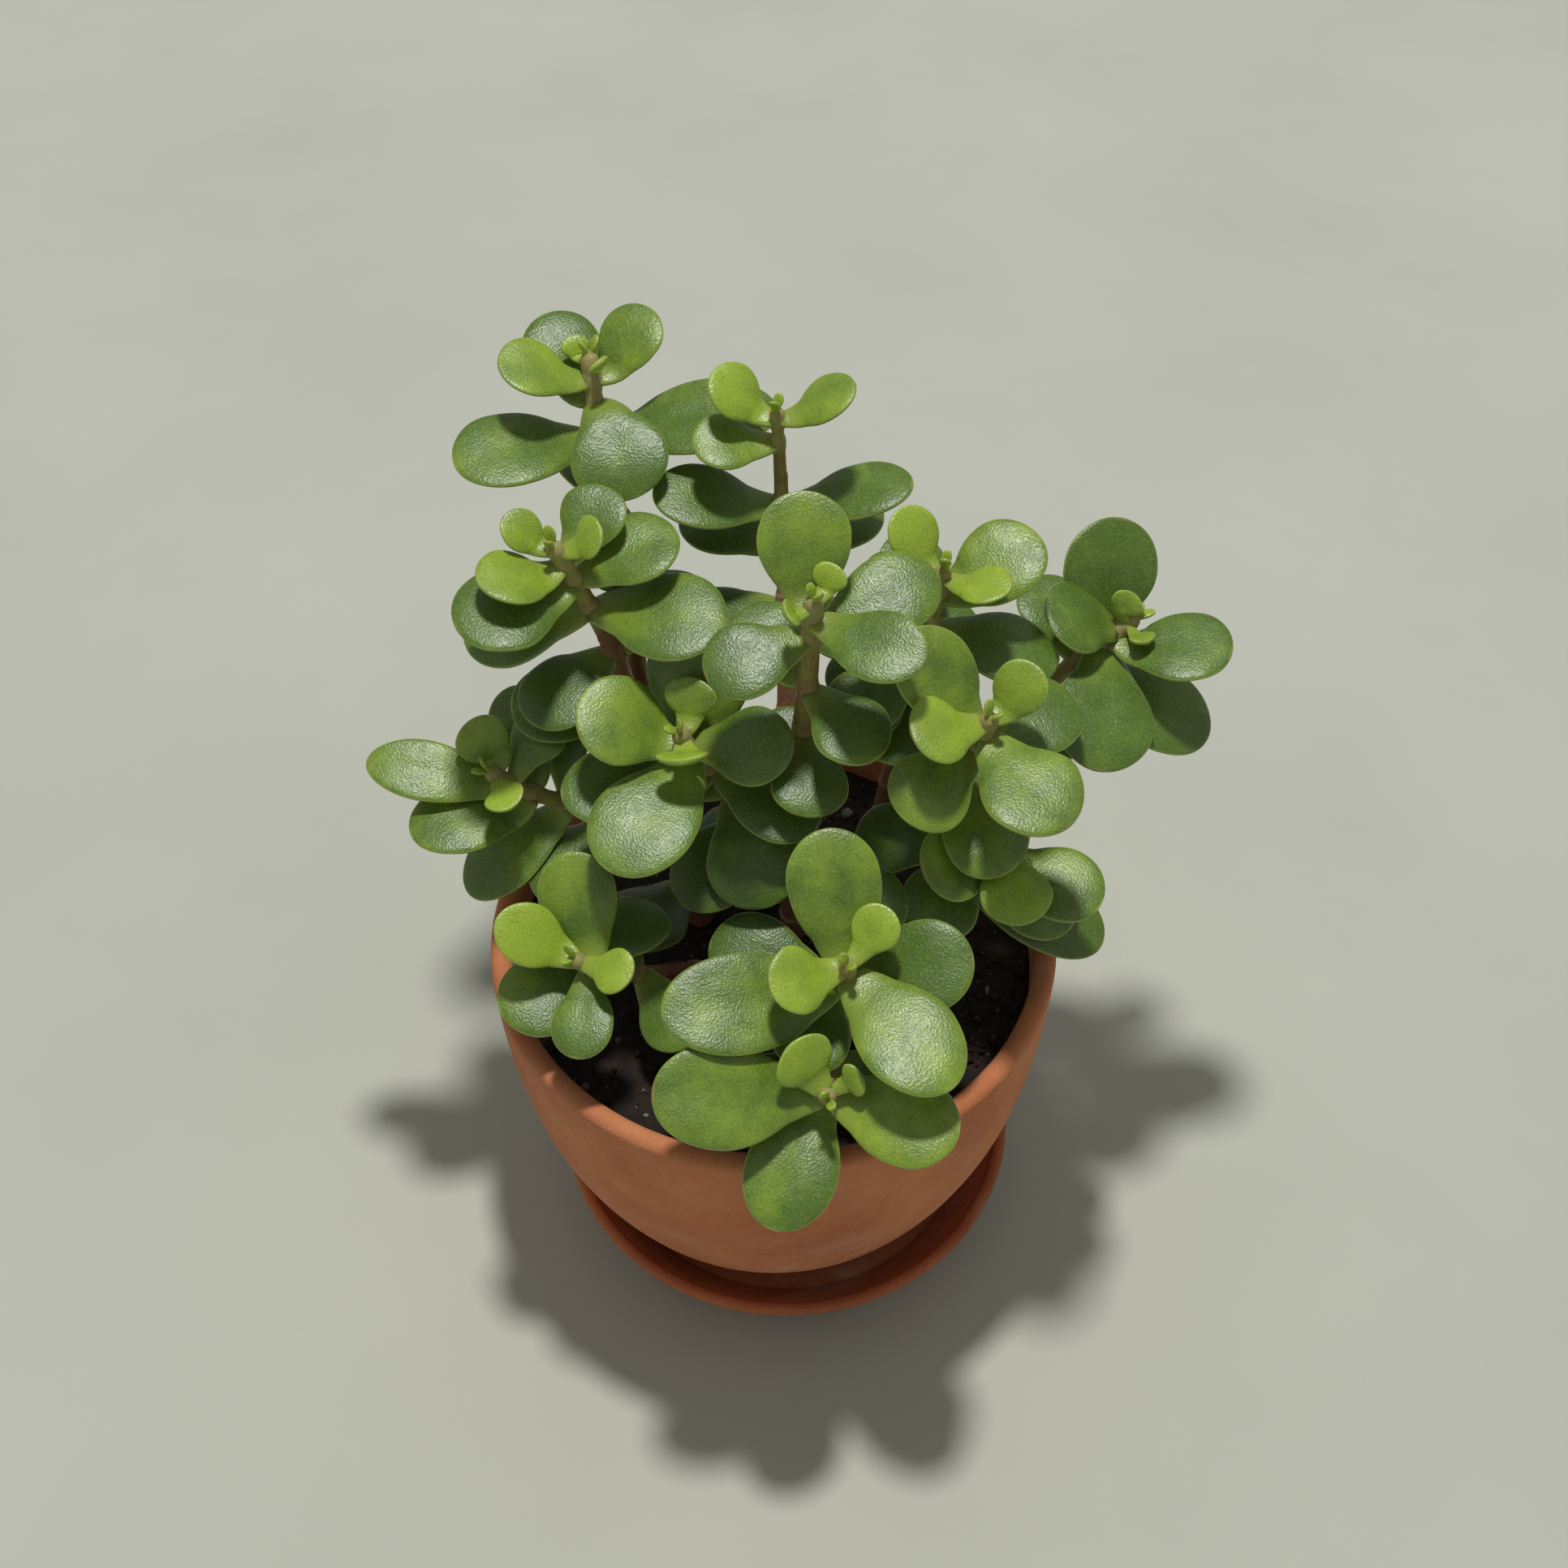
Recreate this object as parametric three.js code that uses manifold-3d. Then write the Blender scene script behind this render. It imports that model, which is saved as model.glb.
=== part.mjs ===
// Potted jade plant: a terracotta pot on its saucer, filled with soil, holding six rooted stems
// with opposite pairs of thick leaves. Millimetres, +Z up. The origin is on the floor, under the
// middle of the saucer.

import * as THREE from 'three';
import { mergeVertices } from 'three/addons/utils/BufferGeometryUtils.js';
import Module from 'manifold-3d';

const wasm = await Module();
wasm.setup();

// ---- driving dimensions ----------------------------------------------------------------------

const CLEARANCE = 0.3; // gap between pieces that touch

const POT = {
  height: 91,
  rimRadius: 65,
  footRadius: 40,
  fullness: 2.6, // how low the wall stays wide: 1 would be a straight cone
  wall: 5,
  floor: 6,
  lipRound: 2,
  drainRadius: 7,
};

const SAUCER = {
  height: 17,
  wall: 3,
  floor: 5,
  play: 7, // room on each side of the pot's foot
  flare: 8, // the rim is this much wider than the base, on each side
  edgeRound: 2,
};

const POT_OFFSET = -3; // the pot stands a little to one side of its saucer, within its play

const SOIL = {
  drop: 10, // from the pot's lip down to the soil
  crown: 2, // the soil is this much higher in the middle
  shoulder: [0.6, 0.7], // out to this share of its radius it still has this share of the crown
};

const STEM = {
  rootDepth: 14, // how far each rooted stem goes into the soil
  sides: 6,
  step: 9, // length of stem between two sections
  tipShare: 0.8, // length of the pointed tip over its radius
};

const LEAF = {
  scale: 1, // multiplies every leaf's length and width
  thickness: 3.2, // of a leaf 18 mm wide, at its middle
  stalk: 0.26, // width at the stem, as a share of the leaf's width
  widest: 0.6, // where the leaf is widest, as a share of its length
  cup: 0.05, // how far the blade bows up, as a share of its length
  collar: 1.6, // width and height of the band that joins a pair round its stem
  collarPlay: 0.6, // from the stem out to that band
  collarGap: 1.2, // from that band out to where the blade starts
  stations: [0.95, 0.8, 0.52, 0.24, 0], // sections, from the tip to the stalk
  facing: 0.75, // how far a blade turns its face from its stem's tip towards the light
};

// Where the light comes from.
const LIGHT = new THREE.Vector3(0, -0.45, 0.9).normalize();

const YOUNG_PAIRS = 2; // the youngest pairs of a shoot are still joined to each other

// Round sections have this many sides.
const ROUND_SIDES = 32;

// The stems, each a list of branches in millimetres from the middle of the soil's surface. The
// first branch of a stem is rooted, and every other branch starts inside an earlier one.
// points run from the root or the fork up to the growing tip, and radius is at each end.
// pairs run from the tip down. Each has its distance below the tip, and then each leaf's
// [direction, rise, length, width]: direction in degrees anticlockwise from +X seen from above,
// rise in degrees above the horizontal, and length from the stem's middle to the leaf's tip. One
// leaf alone is what is left of its pair.
const STEMS = {
  left: [
    {
      shoot: 'left_top',
      points: [[-17, 8, 0], [-22, 12, 22], [-29, 21, 46], [-34, 24, 72], [-43, 19, 104]],
      radius: [3.6, 1.5],
      pairs: [
        [2, [170, 45, 14, 9], [350, 45, 12, 9]],
        [5.5, [60, 35, 18, 14], [215, 20, 20, 14]],
        [11, [20, 15, 23, 17], [215, 5, 27, 20]],
        [20, [340, 5, 30, 21], [185, -15, 28, 19]],
        [34, [60, 15, 25, 17], [225, -15, 24, 17]],
        [48, [185, 0, 26, 18], [350, -10, 24, 17]],
        [97, [235, 10, 28, 20], [55, 10, 24, 16]],
      ],
    },
    {
      shoot: 'tall',
      points: [[-21, 11, 18], [-27, 22, 42], [-32, 38, 74], [-36, 50, 102], [-37, 55, 124]],
      radius: [2.6, 1.6],
      pairs: [
        [1.5, [120, 60, 9, 6], [300, 60, 8, 5]],
        [5, [45, 40, 20, 14], [190, 25, 20, 14]],
        [10, [125, 40, 23, 17], [295, -30, 24, 20]],
        [18, [205, 5, 31, 19], [358, 14, 38, 20]],
        [32, [110, 15, 24, 16], [280, -25, 24, 16]],
      ],
    },
    {
      shoot: 'left_low',
      points: [[-22, 12, 22], [-37, 14, 33], [-51, 9, 42], [-61, 7, 52]],
      radius: [2.4, 1.5],
      pairs: [
        [2, [155, 50, 15, 12], [290, 10, 13, 9]],
        [6, [177, 14, 33, 14], [50, 30, 18, 13]],
        [12, [200, 8, 29, 18], [110, 35, 25, 15]],
        [21, [205, -30, 32, 17], [100, 40, 27, 14]],
        [31, [228, -10, 27, 19], [75, 20, 22, 15]],
      ],
    },
  ],
  back: [
    {
      shoot: 'back',
      points: [[2, 18, 0], [3, 30, 50], [2, 44, 94], [1, 43, 119]],
      radius: [3, 1.2],
      pairs: [
        [2, [165, 45, 17, 12], [0, 35, 18, 11]],
        [8, [190, 10, 18, 13]],
        [24, [190, 15, 28, 16], [350, 20, 29, 15]],
        [34, [150, 5, 25, 17], [30, 10, 24, 16]],
        [48, [200, 5, 28, 18], [320, 5, 27, 17]],
      ],
    },
  ],
  centre: [
    {
      shoot: 'centre',
      points: [[5, 4, 0], [5, 9, 40], [7, 4, 79], [8, -1, 107]],
      radius: [3.8, 1.6],
      pairs: [
        [1.5, [45, 60, 10, 7], [225, 45, 8, 6]],
        [5, [92, 60, 25, 18], [325, 5, 25, 15]],
        [11, [25, 15, 28, 17], [200, -10, 22, 16]],
        [27, [310, -10, 22, 16], [130, 20, 22, 16]],
        [42, [275, -15, 21, 16], [20, 0, 22, 16]],
      ],
    },
    {
      shoot: 'middle_left',
      points: [[5, 8, 27], [-5, 8, 43], [-15, 3, 60], [-19, -1, 72]],
      radius: [2.4, 1.6],
      pairs: [
        [2, [75, 60, 13, 11], [265, 35, 12, 11]],
        [5.5, [180, 30, 25, 19], [345, 10, 23, 17]],
        [10, [92, 60, 28, 22], [236, -10, 32, 22]],
        [18, [195, 5, 33, 20], [330, -10, 27, 17]],
        [28, [290, -30, 28, 21], [150, 0, 27, 19]],
        [38, [230, -20, 28, 19], [60, 0, 24, 17]],
      ],
    },
  ],
  right: [
    {
      shoot: 'right_back',
      points: [[22, 12, 0], [26, 15, 39], [31, 17, 74], [34, 17, 100]],
      radius: [3.4, 1.4],
      pairs: [
        [2, [135, 55, 17, 11], [325, 20, 16, 10]],
        [7, [20, 30, 24, 18], [165, 10, 16, 12]],
        [16, [345, -10, 27, 17], [105, 35, 22, 15]],
        [28, [215, -10, 23, 16], [60, 15, 21, 15]],
        [42, [300, -10, 24, 16], [130, 10, 23, 16]],
      ],
    },
    {
      shoot: 'far_right',
      points: [[25, 14, 30], [45, 18, 50], [61, 22, 66], [76, 25, 80]],
      radius: [2.6, 1.6],
      pairs: [
        [1.5, [10, 60, 10, 7], [300, 20, 9, 6]],
        [5, [195, 25, 20, 17], [340, 14, 26, 18]],
        [10, [60, 55, 29, 21], [262, -20, 30, 22]],
        [15, [340, -20, 33, 20], [115, 25, 21, 15]],
        [29, [255, -25, 25, 17], [80, 10, 21, 15]],
      ],
    },
    {
      shoot: 'right_middle',
      points: [[24, 13, 20], [33, 3, 50], [40, -9, 74], [42, -12, 87]],
      radius: [2.6, 1.5],
      pairs: [
        [2, [25, 55, 16, 11], [205, 20, 18, 14]],
        [6, [145, 45, 26, 17], [305, -5, 26, 20]],
        [14, [30, 5, 24, 17], [220, -20, 21, 17]],
        [27, [120, 0, 23, 17], [300, -20, 24, 18]],
      ],
    },
    {
      shoot: 'right_low',
      points: [[27, 10, 32], [38, -3, 38], [46, -10, 46], [50, -13, 54]],
      radius: [2.2, 1.5],
      pairs: [
        [3, [275, -15, 19, 15], [55, 15, 18, 14]],
        [7, [325, 0, 25, 17], [215, 15, 21, 16]],
        [16, [335, -25, 28, 18], [235, -15, 22, 17]],
        [24, [338, -22, 42, 18], [150, -5, 22, 16]],
      ],
    },
  ],
  front: [
    {
      shoot: 'front',
      points: [[9, -12, 0], [12, -24, 20], [15, -36, 36], [15, -41, 47]],
      radius: [3, 1.5],
      pairs: [
        [2, [40, 45, 15, 10], [205, 20, 18, 14]],
        [6, [105, 50, 30, 19], [308, -5, 32, 20]],
        [12, [198, 8, 39, 21], [355, 20, 27, 19]],
        [20, [245, -15, 22, 17], [60, 40, 25, 17]],
        [31, [165, 5, 27, 18], [345, -5, 26, 17]],
      ],
    },
    {
      shoot: 'front_low',
      points: [[11, -21, 14], [12, -38, 17], [11, -52, 21], [11, -60, 29]],
      radius: [2.4, 1.5],
      pairs: [
        [2, [160, 60, 15, 13], [0, 45, 9, 7]],
        [6, [338, 5, 28, 19], [190, 15, 36, 21]],
        [11, [248, -20, 31, 19]],
        [19, [215, -5, 28, 17], [325, -5, 28, 17]],
      ],
    },
  ],
  side: [
    {
      shoot: 'side',
      points: [[-15, -8, 0], [-28, -20, 16], [-37, -28, 28], [-41, -31, 36]],
      radius: [2.6, 1.4],
      pairs: [
        [2, [175, 40, 21, 13], [330, 15, 14, 10]],
        [6, [265, -15, 20, 13], [105, 50, 25, 17]],
        [13, [205, 5, 25, 18], [60, 0, 20, 16]],
        [24, [130, 5, 24, 17], [310, -5, 21, 16]],
      ],
    },
  ],
};

// ---- what follows from them ------------------------------------------------------------------

const SAUCER_BASE_RADIUS = POT.footRadius + SAUCER.play + SAUCER.wall;
const POT_BASE_Z = SAUCER.floor + CLEARANCE;
const POT_RIM_Z = POT_BASE_Z + POT.height;
const SOIL_EDGE_Z = POT_RIM_Z - SOIL.drop;
const PLANT_ORIGIN = new THREE.Vector3(POT_OFFSET, 0, SOIL_EDGE_Z);

// ---- solids ----------------------------------------------------------------------------------

function indexed(geometry) {
  geometry.deleteAttribute('normal');
  geometry.deleteAttribute('uv');
  return mergeVertices(geometry, 1e-4);
}

function toSolid(geometry) {
  const closed = indexed(geometry.clone());
  return new wasm.Manifold(new wasm.Mesh({
    numProp: 3,
    vertProperties: new Float32Array(closed.attributes.position.array),
    triVerts: new Uint32Array(closed.index.array),
  }));
}

function toGeometry(solid) {
  const { vertProperties, triVerts, numProp } = solid.getMesh();
  const positions = new Float32Array((vertProperties.length / numProp) * 3);
  for (let i = 0; i < positions.length / 3; i += 1) {
    positions.set(vertProperties.subarray(i * numProp, i * numProp + 3), i * 3);
  }
  const geometry = new THREE.BufferGeometry();
  geometry.setAttribute('position', new THREE.BufferAttribute(positions, 3));
  geometry.setIndex(new THREE.BufferAttribute(new Uint32Array(triVerts), 1));
  return geometry;
}

// A closed skin over rings of points that all have the same count. Each end closes on a point:
// the tip that is given, or the middle of the end ring.
function loft(rings, startTip, endTip) {
  const sides = rings[0].length;
  const middle = (ring) => ring.reduce((sum, p) => sum.add(p), new THREE.Vector3()).divideScalar(sides);
  const points = rings.flat();
  const start = points.push(startTip ?? middle(rings[0])) - 1;
  const end = points.push(endTip ?? middle(rings.at(-1))) - 1;
  const last = (rings.length - 1) * sides;
  const faces = [];
  for (let i = 0; i < sides; i += 1) {
    const next = (i + 1) % sides;
    faces.push(start, next, i, end, last + i, last + next);
    for (let row = 0; row < last; row += sides) {
      faces.push(row + i, row + next, row + sides + i);
      faces.push(row + next, row + sides + next, row + sides + i);
    }
  }
  const geometry = new THREE.BufferGeometry();
  geometry.setAttribute('position', new THREE.Float32BufferAttribute(points.flatMap((p) => p.toArray()), 3));
  geometry.setIndex(faces);
  return facingOut(geometry);
}

// Turns every triangle over when the skin encloses a negative volume.
function facingOut(geometry) {
  const { position } = geometry.attributes;
  const corners = [new THREE.Vector3(), new THREE.Vector3(), new THREE.Vector3()];
  const index = geometry.index.array;
  let volume = 0;
  for (let i = 0; i < index.length; i += 3) {
    corners.forEach((corner, k) => corner.fromBufferAttribute(position, index[i + k]));
    volume += corners[0].dot(corners[1].clone().cross(corners[2]));
  }
  if (volume < 0) {
    for (let i = 0; i < index.length; i += 3) {
      [index[i], index[i + 1]] = [index[i + 1], index[i]];
    }
  }
  return geometry;
}

// A body of revolution about Z from a profile of [radius, height] points.
function turned(profile) {
  const points = profile.map(([r, z]) => new THREE.Vector2(r, z));
  const geometry = new THREE.LatheGeometry(points, ROUND_SIDES);
  geometry.rotateX(Math.PI / 2);
  return facingOut(indexed(geometry));
}

// A quarter turn or less of an arc, as profile points.
function arc(centreR, centreZ, radius, fromDegrees, toDegrees, steps) {
  return Array.from({ length: steps + 1 }, (_, i) => {
    const angle = THREE.MathUtils.degToRad(fromDegrees + ((toDegrees - fromDegrees) * i) / steps);
    return [centreR + radius * Math.cos(angle), centreZ + radius * Math.sin(angle)];
  });
}

// ---- saucer, pot and soil --------------------------------------------------------------------

function saucerGeometry() {
  const { height, wall, floor, flare, edgeRound } = SAUCER;
  const outer = SAUCER_BASE_RADIUS;
  return turned([
    [0, 0],
    ...arc(outer - edgeRound, edgeRound, edgeRound, -90, -20, 2),
    ...arc(outer + flare - wall / 2, height - wall / 2, wall / 2, 0, 180, 4),
    ...arc(outer - wall - edgeRound, floor + edgeRound, edgeRound, -20, -90, 2),
    [0, floor],
  ]);
}

// The pot's outer radius at a height above its underside: a wall that curves in faster and
// faster towards the foot.
function potRadius(height) {
  const { rimRadius, footRadius, fullness } = POT;
  return rimRadius - (rimRadius - footRadius) * (1 - height / POT.height) ** fullness;
}

// Points up the wall, set in by a distance. Their spacing grows as a power of the height,
// because the wall bends most near the foot.
const FOOT_SPACING = 1.4;

function wallProfile(from, to, inset, steps) {
  return Array.from({ length: steps + 1 }, (_, i) => {
    const height = from + (to - from) * (i / steps) ** FOOT_SPACING;
    return [potRadius(height) - inset, height];
  });
}

function potGeometry() {
  const { height, wall, floor, lipRound, drainRadius, footRadius } = POT;
  const lip = potRadius(height - lipRound) - lipRound;
  const innerLip = lipRound / 2;
  const geometry = turned([
    [drainRadius, 0],
    [footRadius - 1, 0],
    ...wallProfile(1, height - lipRound, 0, 8),
    ...arc(lip, height - lipRound, lipRound, 30, 90, 2),
    ...arc(potRadius(height) - wall + innerLip, height - innerLip, innerLip, 90, 180, 2),
    ...wallProfile(floor + 2, height - 2 * innerLip, wall, 6).slice(0, -1).reverse(),
    [potRadius(floor) - wall - 2, floor],
    [drainRadius, floor],
    [drainRadius, 0],
  ]);
  return geometry.translate(POT_OFFSET, 0, POT_BASE_Z);
}

function soilGeometry() {
  const { floor, height, wall } = POT;
  const top = height - SOIL.drop;
  const bottom = floor + CLEARANCE;
  const inset = wall + 2 * CLEARANCE;
  const [shoulderOut, shoulderUp] = SOIL.shoulder;
  const geometry = turned([
    [0, bottom],
    [potRadius(floor) - inset - 2, bottom],
    ...wallProfile(floor + 2, top, inset, 6),
    [potRadius(top) * shoulderOut, top + SOIL.crown * shoulderUp],
    [0, top + SOIL.crown],
  ]);
  return geometry.translate(POT_OFFSET, 0, POT_BASE_Z);
}

// ---- stems -----------------------------------------------------------------------------------

const vector = ([x, y, z]) => new THREE.Vector3(x, y, z);

function branchCurve(branch, rooted) {
  const points = branch.points.map(vector);
  if (rooted) {
    const root = points[0].clone();
    root.z -= STEM.rootDepth;
    points.unshift(root);
  }
  return new THREE.CatmullRomCurve3(points, false, 'centripetal');
}

function branchRadius(branch, share) {
  return THREE.MathUtils.lerp(branch.radius[0], branch.radius[1], share);
}

function branchGeometry(branch, curve, grow = 0) {
  const steps = Math.max(4, Math.round(curve.getLength() / STEM.step));
  const { normals, binormals, tangents } = curve.computeFrenetFrames(steps);
  const rings = Array.from({ length: steps + 1 }, (_, i) => {
    const centre = curve.getPointAt(i / steps);
    const radius = branchRadius(branch, i / steps) + grow;
    return Array.from({ length: STEM.sides }, (__, k) => {
      const angle = (k / STEM.sides) * 2 * Math.PI;
      return centre.clone()
        .addScaledVector(normals[i], radius * Math.cos(angle))
        .addScaledVector(binormals[i], radius * Math.sin(angle));
    });
  });
  const tip = curve.getPointAt(1).addScaledVector(tangents[steps], branch.radius[1] * STEM.tipShare + grow);
  return loft(rings, undefined, tip);
}

// ---- leaves ----------------------------------------------------------------------------------

// Half-width along a leaf as a share of its greatest: a quarter of a sine wave from the stalk to
// the widest place, held back a little near the stalk, and then a quarter of an ellipse to the tip.
function leafOutline(s) {
  const { stalk, widest } = LEAF;
  if (s < widest) {
    return stalk + (1 - stalk) * Math.sin((Math.PI / 2) * (s / widest) ** 1.2);
  }
  return Math.sqrt(1 - ((s - widest) / (1 - widest)) ** 2);
}

// Thickness along a leaf as a share of its greatest.
function leafFullness(s) {
  const body = 0.65 + 0.35 * Math.sin(Math.PI * s);
  return s < LEAF.widest ? body : body * Math.sqrt(leafOutline(s));
}

// Where one leaf lies: its stalk's place, its own three directions and its size.
function leafPose(node, direction, rise, length, width) {
  const azimuth = THREE.MathUtils.degToRad(direction);
  const climb = THREE.MathUtils.degToRad(rise);
  const along = vector([
    Math.cos(climb) * Math.cos(azimuth),
    Math.cos(climb) * Math.sin(azimuth),
    Math.sin(climb),
  ]);
  const out = along.clone().addScaledVector(node.axis, -along.dot(node.axis)).normalize();
  const flat = node.axis.clone().cross(out);
  const lit = LIGHT.clone().cross(along);
  const across = flat.lerp(lit, LEAF.facing);
  across.addScaledVector(along, -across.dot(along)).normalize();
  const up = along.clone().cross(across);
  const reach = collarRadius(node.radius) + LEAF.collarGap;
  return {
    base: node.point.clone().addScaledVector(out, reach),
    out,
    along,
    across,
    up,
    length: length * LEAF.scale - reach,
    width: width * LEAF.scale,
  };
}

function collarRadius(stemRadius) {
  return stemRadius + LEAF.collarPlay + LEAF.collar / 2;
}

// Six points round a flat lens: two edges, and two points each on the top and the bottom.
function lens(centre, across, up, halfWidth, halfThickness) {
  const corners = [[1, 0], [0.5, 1], [-0.5, 1], [-1, 0], [-0.5, -1], [0.5, -1]];
  return corners.map(([a, u]) => centre.clone()
    .addScaledVector(across, a * halfWidth)
    .addScaledVector(up, u * halfThickness));
}

function leafRings(pose, grow = 0) {
  const { base, along, across, up, length, width } = pose;
  const thick = LEAF.thickness * Math.sqrt(width / 18);
  const rings = LEAF.stations.map((s) => {
    const centre = base.clone()
      .addScaledVector(along, length * s)
      .addScaledVector(up, LEAF.cup * length * 4 * s * (1 - s));
    const halfWidth = (width / 2) * leafOutline(s) + grow;
    const halfThickness = (thick / 2) * leafFullness(s) + grow;
    return lens(centre, across, up, halfWidth, halfThickness);
  });
  const tip = base.clone().addScaledVector(along, length + grow);
  return { rings, tip };
}

// The band that joins a pair goes round one side of its stem, from the first leaf's stalk
// towards the second's.
function collarRings(node, firstOut, turn, shares, grow) {
  const half = LEAF.collar / 2 + grow;
  return shares.map((share) => {
    const outward = firstOut.clone().applyAxisAngle(node.axis, turn * share);
    const centre = node.point.clone().addScaledVector(outward, collarRadius(node.radius));
    return lens(centre, outward, node.axis, half, half);
  });
}

// Where the band's sections are, as shares of its turn.
const COLLAR_SHARES = [0.18, 0.39, 0.61, 0.82];

function pairGeometry(node, [first, second], grow = 0) {
  const a = leafRings(first, grow);
  if (!second) {
    const collar = collarRings(node, first.out, Math.PI, COLLAR_SHARES.slice(0, 2), grow);
    return loft([...a.rings, ...collar], a.tip, undefined);
  }
  const b = leafRings(second, grow);
  const side = node.axis.clone().cross(first.out);
  const swing = Math.atan2(side.dot(second.out), first.out.dot(second.out));
  const turn = swing > 0 ? swing : swing + 2 * Math.PI;
  const collar = collarRings(node, first.out, turn, COLLAR_SHARES, grow);
  const far = b.rings.map((ring) => lensTurned(ring)).reverse();
  return loft([...a.rings, ...collar, ...far], a.tip, b.tip);
}

// The second leaf is skinned from its stalk outwards, so its lens is read the other way round.
function lensTurned(ring) {
  const order = [3, 2, 1, 0, 5, 4];
  return order.map((i) => ring[i]);
}

// A short peg beside the stem that joins two pairs. It goes round the stem in equal turns to
// the first place where both pairs meet it.
const PEG_TURNS = 24;

function joinPairs(upper, lower, upperNode, lowerNode) {
  const middle = upperNode.axis.clone().add(lowerNode.axis).normalize();
  const start = middle.clone().cross(LIGHT).normalize();
  const radius = collarRadius(lowerNode.radius) + LEAF.collar / 4;
  const half = LEAF.collar / 2;
  for (let k = 0; k < PEG_TURNS; k += 1) {
    const outward = start.clone().applyAxisAngle(middle, (k / PEG_TURNS) * 2 * Math.PI);
    const sideways = middle.clone().cross(outward);
    const rings = [lowerNode, upperNode].map(({ point }) => (
      lens(point.clone().addScaledVector(outward, radius), outward, sideways, half, half)
    ));
    const peg = toSolid(loft(rings, undefined, undefined));
    const joined = upper.add(peg).add(lower);
    if (joined.decompose().length === 1) {
      return joined;
    }
  }
  return upper.add(lower);
}

function leafSolid(pose, grow) {
  const { rings, tip } = leafRings(pose, grow);
  return toSolid(loft(rings, tip, undefined));
}

// ---- growing the plant -----------------------------------------------------------------------

// Steps both ways from nothing, nearest first.
function spread(limit, step) {
  const steps = [];
  for (let value = -limit; value <= limit; value += step) {
    steps.push(value);
  }
  return steps.sort((p, q) => Math.abs(p) - Math.abs(q));
}

// Small turns that a crowded leaf tries, nearest first: degrees of direction and of rise.
const TURNS = spread(30, 5)
  .flatMap((turn) => spread(30, 5).map((lift) => [turn, lift]))
  .sort((p, q) => Math.hypot(...p) - Math.hypot(...q));

// How far a crowded pair slides along its stem, and how small it stays.
const SLIDES = spread(12, 1.5);
const SIZES = [1, 0.9, 0.8, 0.7, 0.6, 0.5, 0.4];

function boxOf(solid) {
  const { min, max } = solid.boundingBox();
  return new THREE.Box3(vector(min), vector(max));
}

class Thicket {
  constructor() {
    this.placed = [];
  }

  add(solid) {
    this.placed.push({ solid, box: boxOf(solid) });
  }

  isClear(solid) {
    const box = boxOf(solid);
    return this.placed.every((other) => (
      !box.intersectsBox(other.box) || solid.intersect(other.solid).isEmpty()
    ));
  }
}

// A leaf that would meet what is already there turns a little.
function settleLeaf(thicket, node, [direction, rise, length, width], size) {
  for (const [turn, lift] of TURNS) {
    const pose = leafPose(node, direction + turn, rise + lift, length * size, width * size);
    if (thicket.isClear(leafSolid(pose, CLEARANCE))) {
      return pose;
    }
  }
  return undefined;
}

// A pair with no room where it is slides a little along its stem, or stays smaller.
function settlePair(thicket, branch, below, wishes) {
  for (const size of SIZES) {
    for (const slide of SLIDES) {
      const node = nodeOnBranch(branch, Math.max(below + slide, branch.radius[1]));
      const poses = wishes.map((wish) => settleLeaf(thicket, node, wish, size));
      if (poses.every(Boolean)) {
        const grown = toSolid(pairGeometry(node, poses, CLEARANCE));
        if (thicket.isClear(grown)) {
          return { node, solid: toSolid(pairGeometry(node, poses)) };
        }
      }
    }
  }
  throw new Error(`no room for leaves ${below} mm down ${branch.shoot}`);
}

function nodeOnBranch(branch, below) {
  const share = 1 - below / branch.curve.getLength();
  return {
    point: branch.curve.getPointAt(share),
    axis: branch.curve.getTangentAt(share),
    radius: branchRadius(branch, share),
  };
}

const STEM_COLOURS = {
  left: 0x7a5541,
  back: 0x7d5a45,
  centre: 0x75533f,
  right: 0x8a6248,
  front: 0x7f5c44,
  side: 0x77573f,
};
const LEAF_COLOURS = [0x9ab04a, 0x7fa043, 0x5f8a3c, 0x4a7436, 0x3f6632, 0x385c2f];

function material(colour, roughness) {
  return new THREE.MeshStandardMaterial({ color: colour, roughness, metalness: 0 });
}

function named(name, geometry, look) {
  const mesh = new THREE.Mesh(geometry, look);
  mesh.name = name;
  return mesh;
}

const object = new THREE.Group();
object.add(named('saucer', saucerGeometry(), material(0xa0633f, 0.85)));
object.add(named('pot', potGeometry(), material(0xb0714c, 0.85)));

const plant = new THREE.Group();
plant.position.copy(PLANT_ORIGIN);
object.add(plant);

const branches = Object.entries(STEMS).flatMap(([stem, list]) => list.map((branch, i) => ({
  ...branch,
  stem,
  curve: branchCurve(branch, i === 0),
  grown: [],
})));

const thicket = new Thicket();
const fromPlant = PLANT_ORIGIN.clone().negate();
thicket.add(toSolid(potGeometry().translate(...fromPlant)));

let soil = toSolid(soilGeometry().translate(...fromPlant));
for (const stem of Object.keys(STEMS)) {
  const own = branches.filter((branch) => branch.stem === stem);
  const solids = own.map((branch) => toSolid(branchGeometry(branch, branch.curve)));
  const joined = solids.reduce((sum, solid) => sum.add(solid));
  thicket.add(joined);
  plant.add(named(`stem_${stem}`, toGeometry(joined), material(STEM_COLOURS[stem], 0.75)));
  soil = soil.subtract(toSolid(branchGeometry(own[0], own[0].curve, CLEARANCE)));
}
thicket.add(soil);
plant.add(named('soil', toGeometry(soil), material(0x2a241f, 0.95)));

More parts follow.
